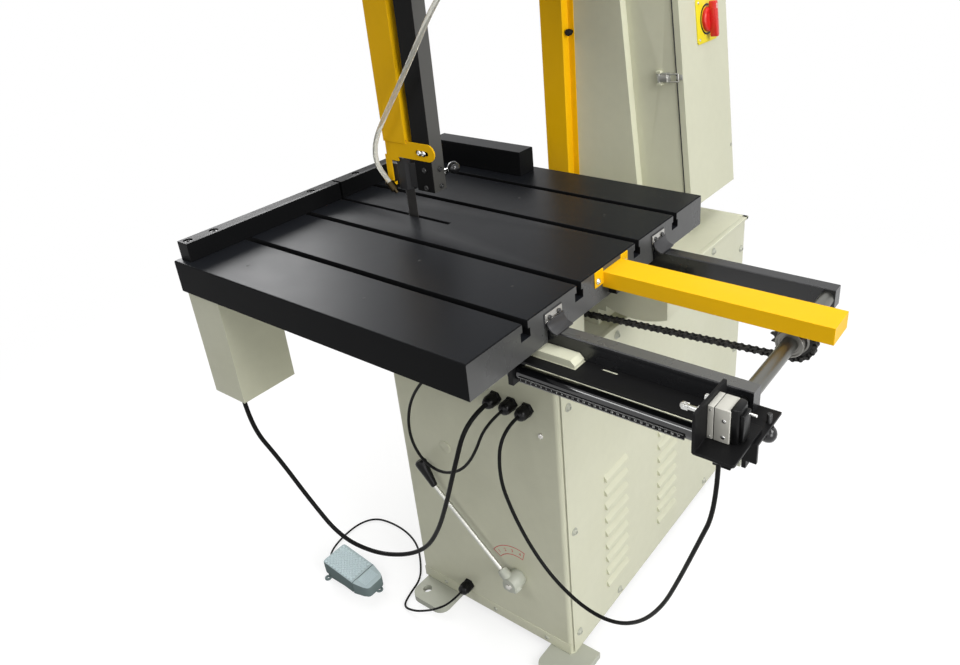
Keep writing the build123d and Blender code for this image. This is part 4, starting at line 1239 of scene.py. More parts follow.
def near_line(start: Vector, way: Vector, radius: float) -> Choice:
    """Chooses the faces within a radius in millimetres of a line."""
    return lambda centre, normal: (centre - start).cross(way.normalized()).length < radius * MM


@dataclass
class SoftenedNode:
    """A CAD node that keeps its shape, with sharp edges rounded off and chosen faces in other finishes."""

    node: str
    body: Body
    slot: str
    finish: Finish
    radius: float = 0.8
    accents: tuple[tuple[Finish, Choice], ...] = ()
    weld: float = 2e-6
    flat_angle: float = math.radians(0.4)
    sharp_angle: float = math.radians(30)
    bevel_angle: float = math.radians(32)

    def build(self) -> None:
        """Copies the node, rounds its edges and lets the copy stand for it."""
        part = bmesh.new()
        part.from_mesh(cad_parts[self.node].data)
        bmesh.ops.remove_doubles(part, verts=part.verts, dist=self.weld)
        bmesh.ops.dissolve_limit(part, angle_limit=self.flat_angle, verts=part.verts, edges=part.edges)
        mesh = bpy.data.meshes.new(self.node)
        part.to_mesh(mesh)
        part.free()
        mesh.materials.clear()
        mesh.materials.append(self.finish.material())
        mesh.polygons.foreach_set("use_smooth", [True] * len(mesh.polygons))
        mesh.set_sharp_from_angle(angle=self.sharp_angle)
        carrier = link("carrier", mesh)
        bevel = carrier.modifiers.new("edges", "BEVEL")
        bevel.harden_normals = True
        bevel.width = self.radius * MM
        bevel.segments = 2
        bevel.limit_method = "ANGLE"
        bevel.angle_limit = self.bevel_angle
        bevel.use_clamp_overlap = True
        made = plain_mesh(carrier)
        for number, (finish, chosen) in enumerate(self.accents, 1):
            made.materials.append(finish.material())
            for face in made.polygons:
                if chosen(face.center, face.normal):
                    face.material_index = number
        settle(made, self.node + "_finished", self.body, self.slot, self.node, smooth=0.0)


# Table accents: ground top faces with a painted sheen tint, and +X end faces with a painted sheen.
TABLE_FACES = ((TABLE_GROUND_SHEEN, facing(Axis.Z)), (TABLE_END_SHEEN, facing(Axis.X)))
NOZZLE = near_line(at(-241, -345, 1014), Vector((16, 2, -20)), 9.2)
SOFTENED = (
    SoftenedNode("table", Body.TABLE, "table_steel", TABLE_BLACK, 1.0, TABLE_FACES),
    SoftenedNode("pusher_bar", Body.TABLE, "black_steel", BAR_BLACK, 1.2),
    SoftenedNode("fence_bar", Body.TABLE, "black_steel", BAR_BLACK, 1.2, TABLE_FACES[:1]),
    SoftenedNode("chain_guard", Body.TABLE, "yellow_paint", YELLOW, 0.9),
    SoftenedNode("control_box", Body.TABLE, "cream_paint", CREAM, 1.5),
    # The post's +X face takes a lighter copy of its black: painted light.
    SoftenedNode("guide_post", Body.POST, "black_steel", POST_BLACK, 1.0, ((POST_LIT_SIDE, facing(Axis.X)),)),
    SoftenedNode("guide_block", Body.POST, "black_steel", GUIDE_BLACK, 0.9),
    SoftenedNode("guard_bracket", Body.POST, "yellow_paint", YELLOW, 0.5, ((BRASS, NOZZLE),)),
    SoftenedNode("blade_guard", Body.POST, "yellow_paint", YELLOW, 0.6),
    SoftenedNode("guide_rails", Body.FRAME, "black_steel", RAIL_BLACK, 0.9, ((RAIL_TOP_SHEEN, worn_sheen_rail_top),)),
    SoftenedNode("bar_brackets", Body.FRAME, "black_steel", POWDER_BLACK, 0.9),
    SoftenedNode("return_guard", Body.FRAME, "yellow_paint", YELLOW, 0.9),
    SoftenedNode("switch_carriage", Body.CARRIAGE, "black_steel", POWDER_BLACK, 0.7),
    SoftenedNode("electrical_cabinet", Body.FRAME, "cream_paint", CREAM, 1.2),
    SoftenedNode("cabinet_door", Body.CABINET_DOOR, "cream_paint", CREAM, 1.2),
    SoftenedNode("lower_wheel", Body.LOWER_WHEEL, "cast_iron", CAST_GREY, 1.6),
    SoftenedNode("upper_wheel", Body.UPPER_WHEEL, "cast_iron", CAST_GREY, 1.6),
    SoftenedNode("tension_handwheel", Body.TENSION_WHEEL, "black_plastic", BLACK_PLASTIC, 1.4),
    SoftenedNode("post_handwheel", Body.POST_WHEEL, "black_plastic", BLACK_PLASTIC, 1.4),
)
DRESSED = {
    CREAM: (
        "base_cabinet", "side_panel", "column", "upper_housing", "lower_door", "upper_door",
        "feed_gear_housing",
    ),
    # Feet in the darker cream copy: painted shade.
    CREAM_SHADED: ("base_feet",),
    GUIDE_BLACK: ("lower_guide",),
    SHAFT_STEEL: ("cross_shaft",),
    BAR_STEEL: ("stop_bar",),
    CAST_GREY: ("gearbox", "motor", "tension_carriage"),
}


@dataclass
class ChainFeed:
    """The roller chain that pulls the table, and its two sprockets."""

    pitch: float = 12.7
    idler_teeth: int = 17
    drive_teeth: int = 12
    idler_centre: Pair = (571.0, 878.0)
    drive_centre: Pair = (121.0, 838.0)
    chain_y: float = -304.0
    roller_radius: float = 3.7
    roller_length: float = 6.4
    pin_radius: float = 1.9
    pin_length: float = 11.8
    plate_height: float = 9.0
    plate_thickness: float = 1.2
    plate_reach: Pair = (5.2, 3.9)
    row_end: float = 5.8
    wrap_start: float = 42.0
    drive_wrap: int = 5
    disc_thickness: float = 5.4

    def pitch_radius(self, teeth: int) -> float:
        """Radius of the circle through the pins on a sprocket, in millimetres."""
        return self.pitch / 2 / math.sin(math.pi / teeth)

    def leaving(self) -> float:
        """The angle at which the lower run leaves both sprockets.

        Returns:
            The angle in radians.
        """
        (ix, iz), (dx, dz) = self.idler_centre, self.drive_centre
        step = self.pitch_radius(self.idler_teeth) - self.pitch_radius(self.drive_teeth)
        spread = math.asin(step / math.hypot(ix - dx, iz - dz))
        return math.atan2(iz - dz, ix - dx) - math.pi / 2 - spread

    def on_circle(self, centre: Pair, radius: float, angle: float) -> Vector:
        """A point on a circle in the chain's plane, in metres."""
        return at(centre[0] + radius * math.cos(angle), self.chain_y, centre[1] + radius * math.sin(angle))

    def lower_pins(self) -> list[Vector]:
        """The pins of the lower run: round the idler, along the run, round the drive sprocket.

        Returns:
            Their places.
        """
        leave = self.leaving()
        idler_step, drive_step = (2 * math.pi / teeth for teeth in (self.idler_teeth, self.drive_teeth))
        wraps = int((math.radians(self.wrap_start) - leave) / idler_step)
        idler_radius = self.pitch_radius(self.idler_teeth)
        drive_radius = self.pitch_radius(self.drive_teeth)
        pins = []
        for step in range(wraps, -1, -1):
            pins.append(self.on_circle(self.idler_centre, idler_radius, leave + step * idler_step))
        start, end = pins[-1], self.on_circle(self.drive_centre, drive_radius, leave)
        count = round((end - start).length / (self.pitch * MM))
        pins += [start.lerp(end, step / count) for step in range(1, count + 1)]
        for step in range(1, self.drive_wrap + 1):
            pins.append(self.on_circle(self.drive_centre, drive_radius, leave - step * drive_step))
        return pins

    def upper_pins(self) -> list[Vector]:
        """The pins of the run that the table carries, half a link on, in step with the idler's teeth.

        Returns:
            Their places.
        """
        low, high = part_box("upper_chain")
        count = int((high.x - low.x) / MM / self.pitch)
        level = (low.z + high.z) / 2
        first = low.x + (self.row_end + self.pitch / 2) * MM
        return [Vector((first + n * self.pitch * MM, self.chain_y * MM, level)) for n in range(count + 1)]

    def links(self, name: str, body: Body, pins: list[Vector], node: str) -> None:
        """Grows outer and inner links in turn along a row of pins.

        Args:
            name: The piece's name.
            body: What it rides on.
            pins: The pins' places.
            node: The CAD node it stands for.
        """
        tree = Growth(name)
        pitch = tree.size("Pitch", self.pitch * MM)
        height = tree.size("Plate Height", self.plate_height * MM)
        thick = tree.size("Plate Thickness", self.plate_thickness * MM)
        roller = tree.size("Roller Radius", self.roller_radius * MM)
        ends = [tree.vector(tree.times(pitch, share)) for share in (0.5, -0.5)]
        eye = tree.cylinder(tree.times(height, 0.5), thick, 14)
        waist = tree.cube(pitch, tree.times(height, 0.66), thick)
        plate = tree.join(*(tree.move(eye, end) for end in ends), waist)
        pin = tree.cylinder(self.pin_radius * MM, self.pin_length * MM, 10)
        drum = tree.cylinder(roller, self.roller_length * MM, 14)
        pairs = []
        for reach, bar in zip(self.plate_reach, (pin, drum)):
            plates = [tree.move(plate, (0, 0, side * reach * MM)) for side in (1, -1)]
            pairs.append(tree.join(*plates, *(tree.move(bar, end) for end in ends)))
        outer, inner = pairs
        odd = tree.math("MODULO", tree.add("GeometryNodeInputIndex"), 2.0)
        even = tree.math("SUBTRACT", 1.0, odd)
        copies = tree.join(tree.spread(outer, odd), tree.spread(inner, even))
        points = [((one + two) / 2, BACK, (two - one).normalized()) for one, two in zip(pins, pins[1:])]
        tree.piece(copies, points, CHAIN_STEEL, body, "black_steel", node)

    def toothed(self, name: str, teeth: int, centre: Pair, body: Body) -> None:
        """Grows a sprocket's toothed disc from the rule of its outline.

        Args:
            name: The piece's name.
            teeth: Number of teeth.
            centre: Its centre (x, z) in millimetres.
            body: What it rides on.
        """
        radius = self.pitch_radius(teeth)
        tree = Growth(name)
        root = tree.size("Root Radius", (radius - self.roller_radius - 0.4) * MM)
        tip = tree.size("Tip Radius", (radius + 2.8) * MM)
        count = tree.size("Teeth", teeth)
        seat = tree.size("Seat Angle", -self.leaving())
        thick = tree.size("Thickness", self.disc_thickness * MM)
        disc = tree.add("GeometryNodeMeshCircle", {"Vertices": teeth * 14, "Radius": 1.0}, fill_type="NGON")
        split = tree.add("ShaderNodeSeparateXYZ", {0: tree.add("GeometryNodeInputPosition")})
        x, y, _ = split.node.outputs
        angle = tree.math("SUBTRACT", tree.math("ARCTAN2", y, x), seat)
        wave = tree.math("COSINE", tree.times(angle, count))
        swell = tree.add("ShaderNodeMath", {0: wave, 1: -0.5, 2: 0.5}, operation="MULTIPLY_ADD")
        tooth = tree.math("POWER", swell, 3.0)
        reach = tree.math("ADD", root, tree.times(tooth, tree.math("SUBTRACT", tip, root)))
        place = tree.vector(tree.times(x, reach), tree.times(y, reach))
        shaped = tree.add("GeometryNodeSetPosition", {"Geometry": disc, "Position": place})
        rise = {"Mesh": shaped, "Offset": (0, 0, 1), "Offset Scale": thick}
        raised = tree.add("GeometryNodeExtrudeMesh", rise, mode="FACES")
        whole = tree.join(raised, tree.add("GeometryNodeFlipFaces", {"Mesh": shaped}))
        closed = tree.add("GeometryNodeMergeByDistance", {"Geometry": whole, "Distance": 1e-6})
        foot = self.on_circle(centre, 0.0, 0.0) - at(0, self.disc_thickness / 2, 0)
        tree.piece(tree.spread(closed), [(foot, BACK, RIGHT)], CHAIN_STEEL, body, "bare_steel")

    def sprocket(self, teeth: int, centre: Pair, body: Body, node: str, bored: bool) -> None:
        """Builds a sprocket: its toothed disc and its hub.

        Args:
            teeth: Number of teeth.
            centre: Its centre (x, z) in millimetres.
            body: What it rides on.
            node: The CAD node it stands for.
            bored: Whether it turns on the cross shaft, or has a shaft of its own.
        """
        self.toothed(node + "_teeth", teeth, centre, body)
        hub = Shape()
        x, z = centre
        if bored:
            low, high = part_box("cross_shaft")
            bore = (high.x - low.x) / MM / 2 + 0.08
            outline = [
                (-325, 22), (-323.6, 23), (-308, 23), (-306.6, 26), (-301.2, 26), (-301.2, bore),
                (-322, bore), (-322, 15.2), (-323.4, 15.2), (-323.4, 19.6), (-325, 19.6),
            ]
            hub.lathe(outline, at(x, 0, z), BACK, COLLAR_STEEL, 48, hollow=True)
        else:
            hub.rod(at(x, -307, z), at(x, -192, z), 9.0, BARE_STEEL)
            hub.rod(at(x, -300, z), at(x, -286, z), 15.0, CHAIN_STEEL)
        hub.piece(node + "_hub", body, "bare_steel", node)

    def build(self) -> None:
        """Builds both runs of chain and both sprockets."""
        self.links("chain_lower_run", Body.FRAME, self.lower_pins(), "lower_chain")
        self.links("chain_upper_run", Body.TABLE, self.upper_pins(), "upper_chain")
        self.sprocket(self.idler_teeth, self.idler_centre, Body.IDLER, "idler_sprocket", True)
        self.sprocket(self.drive_teeth, self.drive_centre, Body.DRIVE, "drive_sprocket", False)


@dataclass
class SawBand:
    """The endless blade: a thin band over both wheels with a row of teeth on its front edge."""

    tooth_pitch: float = 6.35
    tooth_height: float = 2.4
    half_thickness: float = 0.45
    arc_steps: int = 64

    def loop(self) -> list[tuple[Vector, Vector]]:
        """Points and outward normals round the band's middle line.

        Returns:
            The (point, outward) pairs at X = 0, in order.
        """
        low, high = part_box("blade")
        middle_y = (low.y + high.y) / 2
        half = self.half_thickness * MM
        radius = (high.y - low.y) / 2 - half
        places = []
        for centre_z, first in ((high.z - radius - half, 0.0), (low.z + radius + half, math.pi)):
            for step in range(self.arc_steps + 1):
                angle = first + math.pi * step / self.arc_steps
                outward = Vector((0, math.cos(angle), math.sin(angle)))
                places.append((Vector((0, middle_y, centre_z)) + radius * outward, outward))
        return places

    def teeth(self, places: list[tuple[Vector, Vector]], root_x: float) -> None:
        """Grows the teeth at even steps along the band.

        Args:
            places: Points and outward normals of the band.
            root_x: Where the teeth stand, in metres.
        """
        tree = Growth("saw_teeth")
        pitch = tree.size("Tooth Pitch", self.tooth_pitch * MM)
        height = tree.size("Tooth Height", self.tooth_height * MM)
        wedge = tree.cylinder(1.0, 2 * self.half_thickness * MM, 3)
        upright = tree.move(tree.move(wedge, turn=(0, -math.pi / 2, 0)), turn=(0, 0, -math.pi / 2))
        sized = tree.move(
            upright,
            tree.vector(z=tree.math("DIVIDE", height, 3.0)),
            scale=tree.vector(tree.math("DIVIDE", pitch, 1.74), 1.0, tree.math("DIVIDE", height, 1.5)),
        )
        points = []
        ring = places + places[:1]
        travelled, due = 0.0, 0.0
        for (start, first_out), (end, second_out) in zip(ring, ring[1:]):
            length = (end - start).length
            while length and due <= travelled + length:
                share = (due - travelled) / length
                outward = first_out.lerp(second_out, share).normalized()
                spot = start.lerp(end, share)
                spot.x = root_x
                points.append((spot, LEFT, RIGHT.cross(outward)))
                due += self.tooth_pitch * MM
            travelled += length
        tree.piece(tree.spread(sized), points, BRIGHT_STEEL, Body.FRAME, "bare_steel")

    def build(self) -> None:
        """Builds the band and its teeth."""
        low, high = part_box("blade")
        root_x = low.x + self.tooth_height * MM
        half = self.half_thickness * MM
        corners = ((root_x, half), (high.x, half), (high.x, -half), (root_x, -half))
        places = self.loop()
        band = Shape()
        rings = [[place + outward * o + RIGHT * x for x, o in corners] for place, outward in places]
        band.loft(rings, BLADE_STEEL, hollow=True)
        band.piece("saw_band", Body.FRAME, "bare_steel", "blade")
        self.teeth(places, root_x)


@dataclass
class TableTrim:
    """Wipers, screws and small tapped holes of the sliding table, whose shade is painted on as thin dark
    discs.
    """

    rail_width: float = 26.0
    lip_radius: float = 20.0
    lip_thickness: float = 3.0
    hole_radius: float = 2.6
    bar_screws: tuple[float, ...] = (-672, -617, -379, -251, -60, 5)
    holes: tuple[Pair, ...] = (
        (-330, -640), (-40, -625), (150, -470), (-60, -470),
        (120, -130), (-90, -130), (170, 10), (-250, -470),
    )

    def wiper(self, shape: Shape, y: float) -> None:
        """Adds one wiper over a rail.

        Args:
            shape: The mesh it joins.
            y: The rail's middle in millimetres.
        """
        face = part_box("way_wipers")[0].x / MM
        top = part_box("guide_rails")[1].z / MM
        shape.block(at(face, y - 25, top + 9), at(face + 1.4, y + 25, top + 34.5), WIPER_RUBBER, 0.5)
        shape.block(at(face + 1.4, y - 23, top + 17), at(face + 3, y + 23, top + 33), BARE_STEEL, 0.6)
        centre_x = face + 3 + self.lip_radius
        centre_z = top + 0.4 + self.lip_radius
        arc = quarter(2, 8)
        outline = []
        for radius, turns in ((self.lip_radius, arc), (self.lip_radius - self.lip_thickness, arc[::-1])):
            for turn in turns:
                spot = at(centre_x + radius * math.cos(turn), y - 23, centre_z + radius * math.sin(turn))
                outline.append(spot)
        shape.prism(outline, at(0, 46, 0), WIPER_RUBBER, 0.4)

    def build(self) -> None:
        """Builds the wipers, the screws and the dark discs painted as the holes' shade."""
        low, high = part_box("guide_rails")
        rails = (low.y / MM + self.rail_width / 2, high.y / MM - self.rail_width / 2)
        wipers = Shape()
        for y in rails:
            self.wiper(wipers, y)
        wipers.piece("rail_wipers", Body.TABLE, "black_rubber", "way_wipers")
        spots = [(at(244, y + side, high.z / MM + 25), RIGHT) for y in rails for side in (-13, 13)]
        small = ScrewSet("wiper_screws", Body.TABLE, "black_steel", SCREW_BLACK, 4.0, 2.4)
        small.build(spots, "table_screws")
        ears = [(at(243, y, 920), RIGHT) for y in (-352, -262)]
        ScrewSet("guard_screws", Body.TABLE, "bare_steel", BRIGHT_STEEL, 5.6, 3.6, domed=True).build(ears)
        low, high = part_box("pusher_bar")
        middle = (low.x + high.x) / 2 / MM
        tops = [(at(middle, y, high.z / MM - 11), UP) for y in self.bar_screws]
        ScrewSet("bar_screws", Body.TABLE, "black_steel", SCREW_BLACK, 7.5, 9.0).build(tops)
        # Thin dark discs painted as the shade inside the tapped holes.
        plugs = ScrewSet(
            "table_hole_shades", Body.TABLE, "black_steel", HOLE_SHADE_AND_SEAM, self.hole_radius, 0.25, Drive.PLAIN
        )
        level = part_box("table")[1].z / MM - 0.05
        plugs.build([(at(x, y, level), UP) for x, y in self.holes])


@dataclass
class FrameTrim:
    """Bolts, plugs, knobs and the top lip of the base and column."""

    panel_x: float = 195.0
    front_y: float = -419.0
    panel_bolts: tuple[Pair, ...] = (
        (-393, 665), (-393, 359), (-393, 69), (-222, 40), (-215, 730),
        (229, 732), (395, 673), (390, 378), (391, 69), (229, 40),
    )
    seam_bolts: tuple[float, ...] = (-175.0, -22.0, 125.0)
    knob_levels: Pair = (860, 1217)

    def screws(self) -> None:
        """Builds the bolts and screws of the base and its panel."""
        bolts = [(at(self.panel_x, y, z), RIGHT) for y, z in self.panel_bolts]
        heads = ScrewSet(
            "panel_bolts", Body.FRAME, "cream_paint", CREAM_SHADED, 6.5, 6.0, washer=9.0, domed=True
        )
        heads.build(bolts, "frame_fasteners")
        seams = [(at(x, self.front_y - 0.8, 31), FRONT) for x in self.seam_bolts]
        ScrewSet("seam_bolts", Body.FRAME, "cream_paint", CREAM_SHADED, 5.0, 3.5, domed=True).build(seams)
        single = ScrewSet(
            "front_screw", Body.FRAME, "bare_steel", BARE_STEEL, 6.0, 4.0, Drive.SLOT, domed=True
        )
        single.build([(at(147, self.front_y, 597), FRONT)])

    def build(self) -> None:
        """Builds the trim that stands still."""
        self.screws()
        knobs = Shape()
        profile = [(0, 4.6), (7, 4.6), (8, 7.2), (9.5, 8), (16.5, 8), (18, 7.2), (18, 3)]
        for level in self.knob_levels:
            knobs.lathe(profile, at(-178, 222, level), FRONT, BLACK_PLASTIC, 24)
        knobs.piece("guard_knobs", Body.FRAME, "black_plastic")
        plug = Shape()
        cover = [(0, 15), (0.8, 15), (1.4, 13.5), (1.4, 4), (0.9, 2)]
        plug.lathe(cover, at(-116, self.front_y, 464), FRONT, CREAM, 40)
        plug.piece("front_plug", Body.FRAME, "cream_paint")
        lip = Shape()
        lip.block(at(186, -412, 746.5), at(199.5, 424, 753.6), CREAM, 1.2)
        lip.block(at(-246, 412, 746.5), at(199.5, 424, 753.6), CREAM, 1.2)
        lip.block(at(-245, self.front_y - 0.8, 17), at(188, self.front_y + 0.4, 46), CREAM, 0.4)
        lip.piece("base_edges", Body.FRAME, "cream_paint")
        low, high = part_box("guide_rails")
        ends = [(at(571, low.y / MM + 10, 878), FRONT), (at(571, high.y / MM - 10, 878), BACK)]
        ScrewSet("rail_screws", Body.FRAME, "black_steel", SCREW_BLACK, 8.6, 8.0).build(ends)


@dataclass
class BladeGuide:
    """The guide head at the foot of the post: screws and the ball lever."""

    ball: Point = (-133.0, -277.25, 1045.0)
    hub: Point = (-160.0, -277.25, 1032.0)

    def build(self) -> None:
        """Builds the screws and the lever."""
        low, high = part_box("guide_post")
        feet = [(at(-161, low.y / MM, z), FRONT) for z in (1051, 1015)]
        feet += [(at(high.x / MM, -308, z), RIGHT) for z in (1051, 1017)]
        ScrewSet("post_screws", Body.POST, "black_steel", SCREW_BLACK, 5.2, 3.0).build(feet)
        bracket_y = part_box("blade_guard")[0].y / MM + 2
        clamps = ScrewSet(
            "bracket_screws", Body.POST, "bare_steel", BRIGHT_STEEL, 5.0, 3.4, washer=5.6, domed=True
        )
        clamps.build([(at(x, bracket_y, 1085), FRONT) for x in (-166, -155)])
        lever = Shape()
        hub, ball = at(*self.hub), at(*self.ball)
        boss = [(0, 8), (0.8, 9), (12, 9), (13, 7.6), (19, 7.6), (21.6, 6), (21.6, 3)]
        lever.lathe(boss, Vector((hub.x, high.y + 0.3 * MM, hub.z)), BACK, BRIGHT_STEEL)
        reach = (ball - hub).normalized()
        length = (ball - hub).length / MM
        lever.lathe([(0, 5.2), (8, 5.2), (length - 9, 4.2), (length - 9, 1)], hub, reach, BRIGHT_STEEL, 24)
        knob = [
            (0, 3.8), (1.2, 5.4), (3.4, 8.6), (7, 11.3), (11, 12.4),
            (14, 12.4), (18, 10.9), (21.5, 7.6), (23.3, 3.4),
        ]
        lever.lathe(knob, ball - reach * 11.5 * MM, reach, BALL_BLACK)
        lever.piece("ball_lever", Body.POST_LEVER, "black_plastic", "guide_lever")


@dataclass
class CabinetTrim:
    """The isolator switch, the toggle clasp, the gear inside and small screws of the leaning cabinet."""

    lean: float = math.atan(0.0997)
    foot: Point = (5.0, 0.0, 753.0)
    switch_y: float = 374.0
    switch_level: float = 468.0
    plate_half: float = 50.0
    plate_corner: float = 9.0
    clasp_level: float = 364.0
    door_face: float = 130.0
    plate_face: float = 8.0
    upper_rail: float = 560.0
    lower_rail: float = 320.0
    duct: Pair = (416.0, 448.0)
    terminals: int = 17
    fingers: int = 18

    def place(self) -> Matrix:
        """The cabinet's own frame in the saw's frame."""
        return Matrix.Translation(at(*self.foot)) @ Matrix.Rotation(-self.lean, 4, "Y")

    def facing(self, vector: Vector) -> Vector:
        """A direction of the cabinet in the saw's frame."""
        return self.place().to_3x3() @ vector

    def on_door(self, depth: float, y: float = 0.0, z: float = 0.0) -> Vector:
        """A point in front of the door, from the middle of the switch on, in the cabinet's frame."""
        return at(self.door_face + depth, self.switch_y + y, self.switch_level + z)

    def switch(self) -> None:
        """Builds the plate, the knob and the block behind them."""
        plate = Shape(self.place())
        corner, reach = self.plate_corner, self.plate_half - self.plate_corner
        outline = []
        for number, (side_y, side_z) in enumerate(((1, 1), (-1, 1), (-1, -1), (1, -1))):
            for turn in quarter(number, 6):
                y = side_y * reach + corner * math.cos(turn)
                outline.append(self.on_door(0, y, side_z * reach + corner * math.sin(turn)))
        plate.prism(outline, at(3, 0, 0), SWITCH_YELLOW, 0.7)
        ring = [(0, 34), (1.0, 34), (1.0, 30), (0, 30)]
        plate.lathe(ring, self.on_door(2.8), RIGHT, BLACK_PLASTIC, 48, hollow=True)
        plate.piece("switch_backplate", Body.CABINET_DOOR, "yellow_paint", "switch_plate")
        knob = Shape(self.place())
        start = self.on_door(3.3)
        knob.lathe([(0, 26), (1, 27), (7, 27), (9.7, 24.5), (9.7, 4)], start, RIGHT, RED_PLASTIC, 48)
        half = ((-6.8, -35), (-4.4, -39), (4.4, -39), (6.8, -35))
        grip = [self.on_door(12, y, z) for y, z in half] + [self.on_door(12, -y, -z) for y, z in half]
        knob.prism(grip, at(17, 0, 0), RED_PLASTIC, 1.6)
        low = self.on_door(29, -1.4, 22)
        knob.block(low, low + at(0.3, 2.8, 11), WHITE_MARK)
        knob.lathe([(-15.3, 7.8), (-14.5, 8.6), (1, 8.6)], start, RIGHT, BLACK_PLASTIC)
        knob.piece("isolator_knob", Body.MAIN_SWITCH, "red_plastic", "main_switch")
        inside = Shape(self.place())
        neck = [(0, 17), (-11, 17), (-11, 9.4), (0, 9.4)]
        inside.lathe(neck, self.on_door(-2), RIGHT, BLACK_PLASTIC, hollow=True)
        for depth, half_side in ((13, 26), (19, 22), (36, 24)):
            low = self.on_door(-depth - 10, -half_side, -half_side)
            inside.block(low, low + at(12, 2 * half_side, 2 * half_side), BLACK_PLASTIC, 1.2)
        inside.piece("isolator_block", Body.CABINET_DOOR, "black_plastic")

    def clasp(self) -> None:
        """Builds the toggle clasp, its base and the hook on the door."""
        level = self.clasp_level
        base = Shape(self.place())
        base.block(at(64, 246.0, level - 11), at(98, 247.6, level + 11), CLASP_STEEL, 0.5)
        base.piece("clasp_base", Body.FRAME, "bare_steel")
        clasp = Shape(self.place())
        barrel = [(-9, 4), (9, 4), (9, 2.35), (-9, 2.35)]
        clasp.lathe(barrel, at(72, 242, level), UP, CLASP_STEEL, 24, hollow=True)
        lever = (
            (99, 240.2), (88, 239.6), (76, 239.8), (67, 242.2),
            (66, 241.0), (75, 238.2), (88, 237.9), (99, 238.8),
        )
        clasp.prism([at(x, y, level - 7) for x, y in lever], at(0, 0, 14), CLASP_STEEL, 0.3)
        near, far, half = (93, 238.6), (121, 240.5), 8.5
        for side in (-half, half):
            clasp.wire(at(*near, level + side), at(*far, level + side), 1.6, CLASP_STEEL)
        for end in (near, far):
            clasp.wire(at(*end, level - half), at(*end, level + half), 1.6, CLASP_STEEL)
        clasp.piece("toggle_clasp", Body.CLASP, "bare_steel", "cabinet_clasp")
        hook = Shape(self.place())
        hook.block(at(116.5, 239.2, level - 4), at(118.5, 246.5, level + 4), CLASP_STEEL, 0.4)
        hook.block(at(116, 243.2, level - 6), at(129.5, 244.4, level + 6), CLASP_STEEL, 0.4)
        hook.piece("clasp_hook", Body.CABINET_DOOR, "bare_steel")

    def seal(self) -> None:
        """Builds the dark seal that shows in the gap round the door."""
        seal = Shape(self.place())
        for y0, y1 in ((245.7, 248.5), (483.5, 486.3)):
            seal.block(at(112.8, y0, 56), at(115.3, y1, 656), WIPER_RUBBER, 0.2)
        for z0, z1 in ((53.7, 56.5), (655.5, 658.3)):
            seal.block(at(112.8, 245.7, z0), at(115.3, 486.3, z1), WIPER_RUBBER, 0.2)
        seal.piece("door_seal", Body.FRAME, "black_rubber")

    def device(self, shape: Shape, y: float, level: float, size: Point, finish: Finish, mark: Finish) -> None:
        """Adds a stepped device to a rail.

        Args:
            shape: The mesh it joins.
            y: Its left side in the cabinet.
            level: Height of its middle.
            size: Depth, width and height.
            finish: Its finish.
            mark: The finish of its rocker.
        """
        back = self.plate_face + 7.5
        depth, width, height = size
        for reach, share, inset in ((0.5, 1.0, 0.0), (0.78, 0.74, 0.6), (1.0, 0.46, 1.2)):
            low = at(back, y + inset, level - height * share / 2)
            shape.block(low, low + at(depth * reach, width - 2 * inset, height * share), finish, 0.8)
        low = at(back + depth - 2, y + width * 0.3, level - height * 0.1)
        shape.block(low, low + at(6, width * 0.4, height * 0.2), mark, 0.8)

    def gear(self) -> None:
        """Builds the plate inside the cabinet, its rails, devices and transformer."""
        face = self.plate_face
        plate = Shape(self.place())
        plate.block(at(face - 2, 264, 84), at(face, 470, 628), CLASP_STEEL, 0.4)
        hat = ((6.5, 17.5), (7.5, 17.5), (7.5, 11.5), (1.2, 11.5), (1.2, 12.5), (6.5, 12.5))
        for level in (self.upper_rail, self.lower_rail):
            for side in (-1, 1):
                brim = [at(face + x, 270, level + side * z) for x, z in hat]
                plate.prism(brim, at(0, 194, 0), CLASP_STEEL)
            plate.block(at(face, 270, level - 12.5), at(face + 1.2, 464, level + 12.5), CLASP_STEEL, 0.2)
        for y in (296, 392):
            plate.block(at(face, y, 104), at(face + 3, y + 16, 206), CLASP_STEEL, 0.6)
        plate.block(at(face + 3, 300, 118), at(face + 66, 404, 192), CHAIN_STEEL, 1.0)
        plate.block(at(face + 12, 324, 104), at(face + 58, 380, 206), SWITCH_YELLOW, 6)
        plate.piece("gear_plate", Body.FRAME, "bare_steel")
        blocks = Shape(self.place())
        for y in (273, 321):
            self.device(blocks, y, self.upper_rail, (76, 46, 84), BLACK_PLASTIC, SWITCH_GREY)
        for y in (374, 392, 410):
            self.device(blocks, y, self.upper_rail, (62, 17.6, 86), SWITCH_GREY, BLACK_PLASTIC)
        self.device(blocks, 434, self.upper_rail, (64, 28, 80), SWITCH_GREY, RED_PLASTIC)
        self.device(blocks, 276, self.upper_rail - 66, (68, 40, 46), BLACK_PLASTIC, RED_PLASTIC)
        self.device(blocks, 418, self.lower_rail, (70, 44, 78), SWITCH_GREY, GREEN_PLASTIC)
        blocks.piece("gear_blocks", Body.FRAME, "black_plastic")
        self.gear_rows()

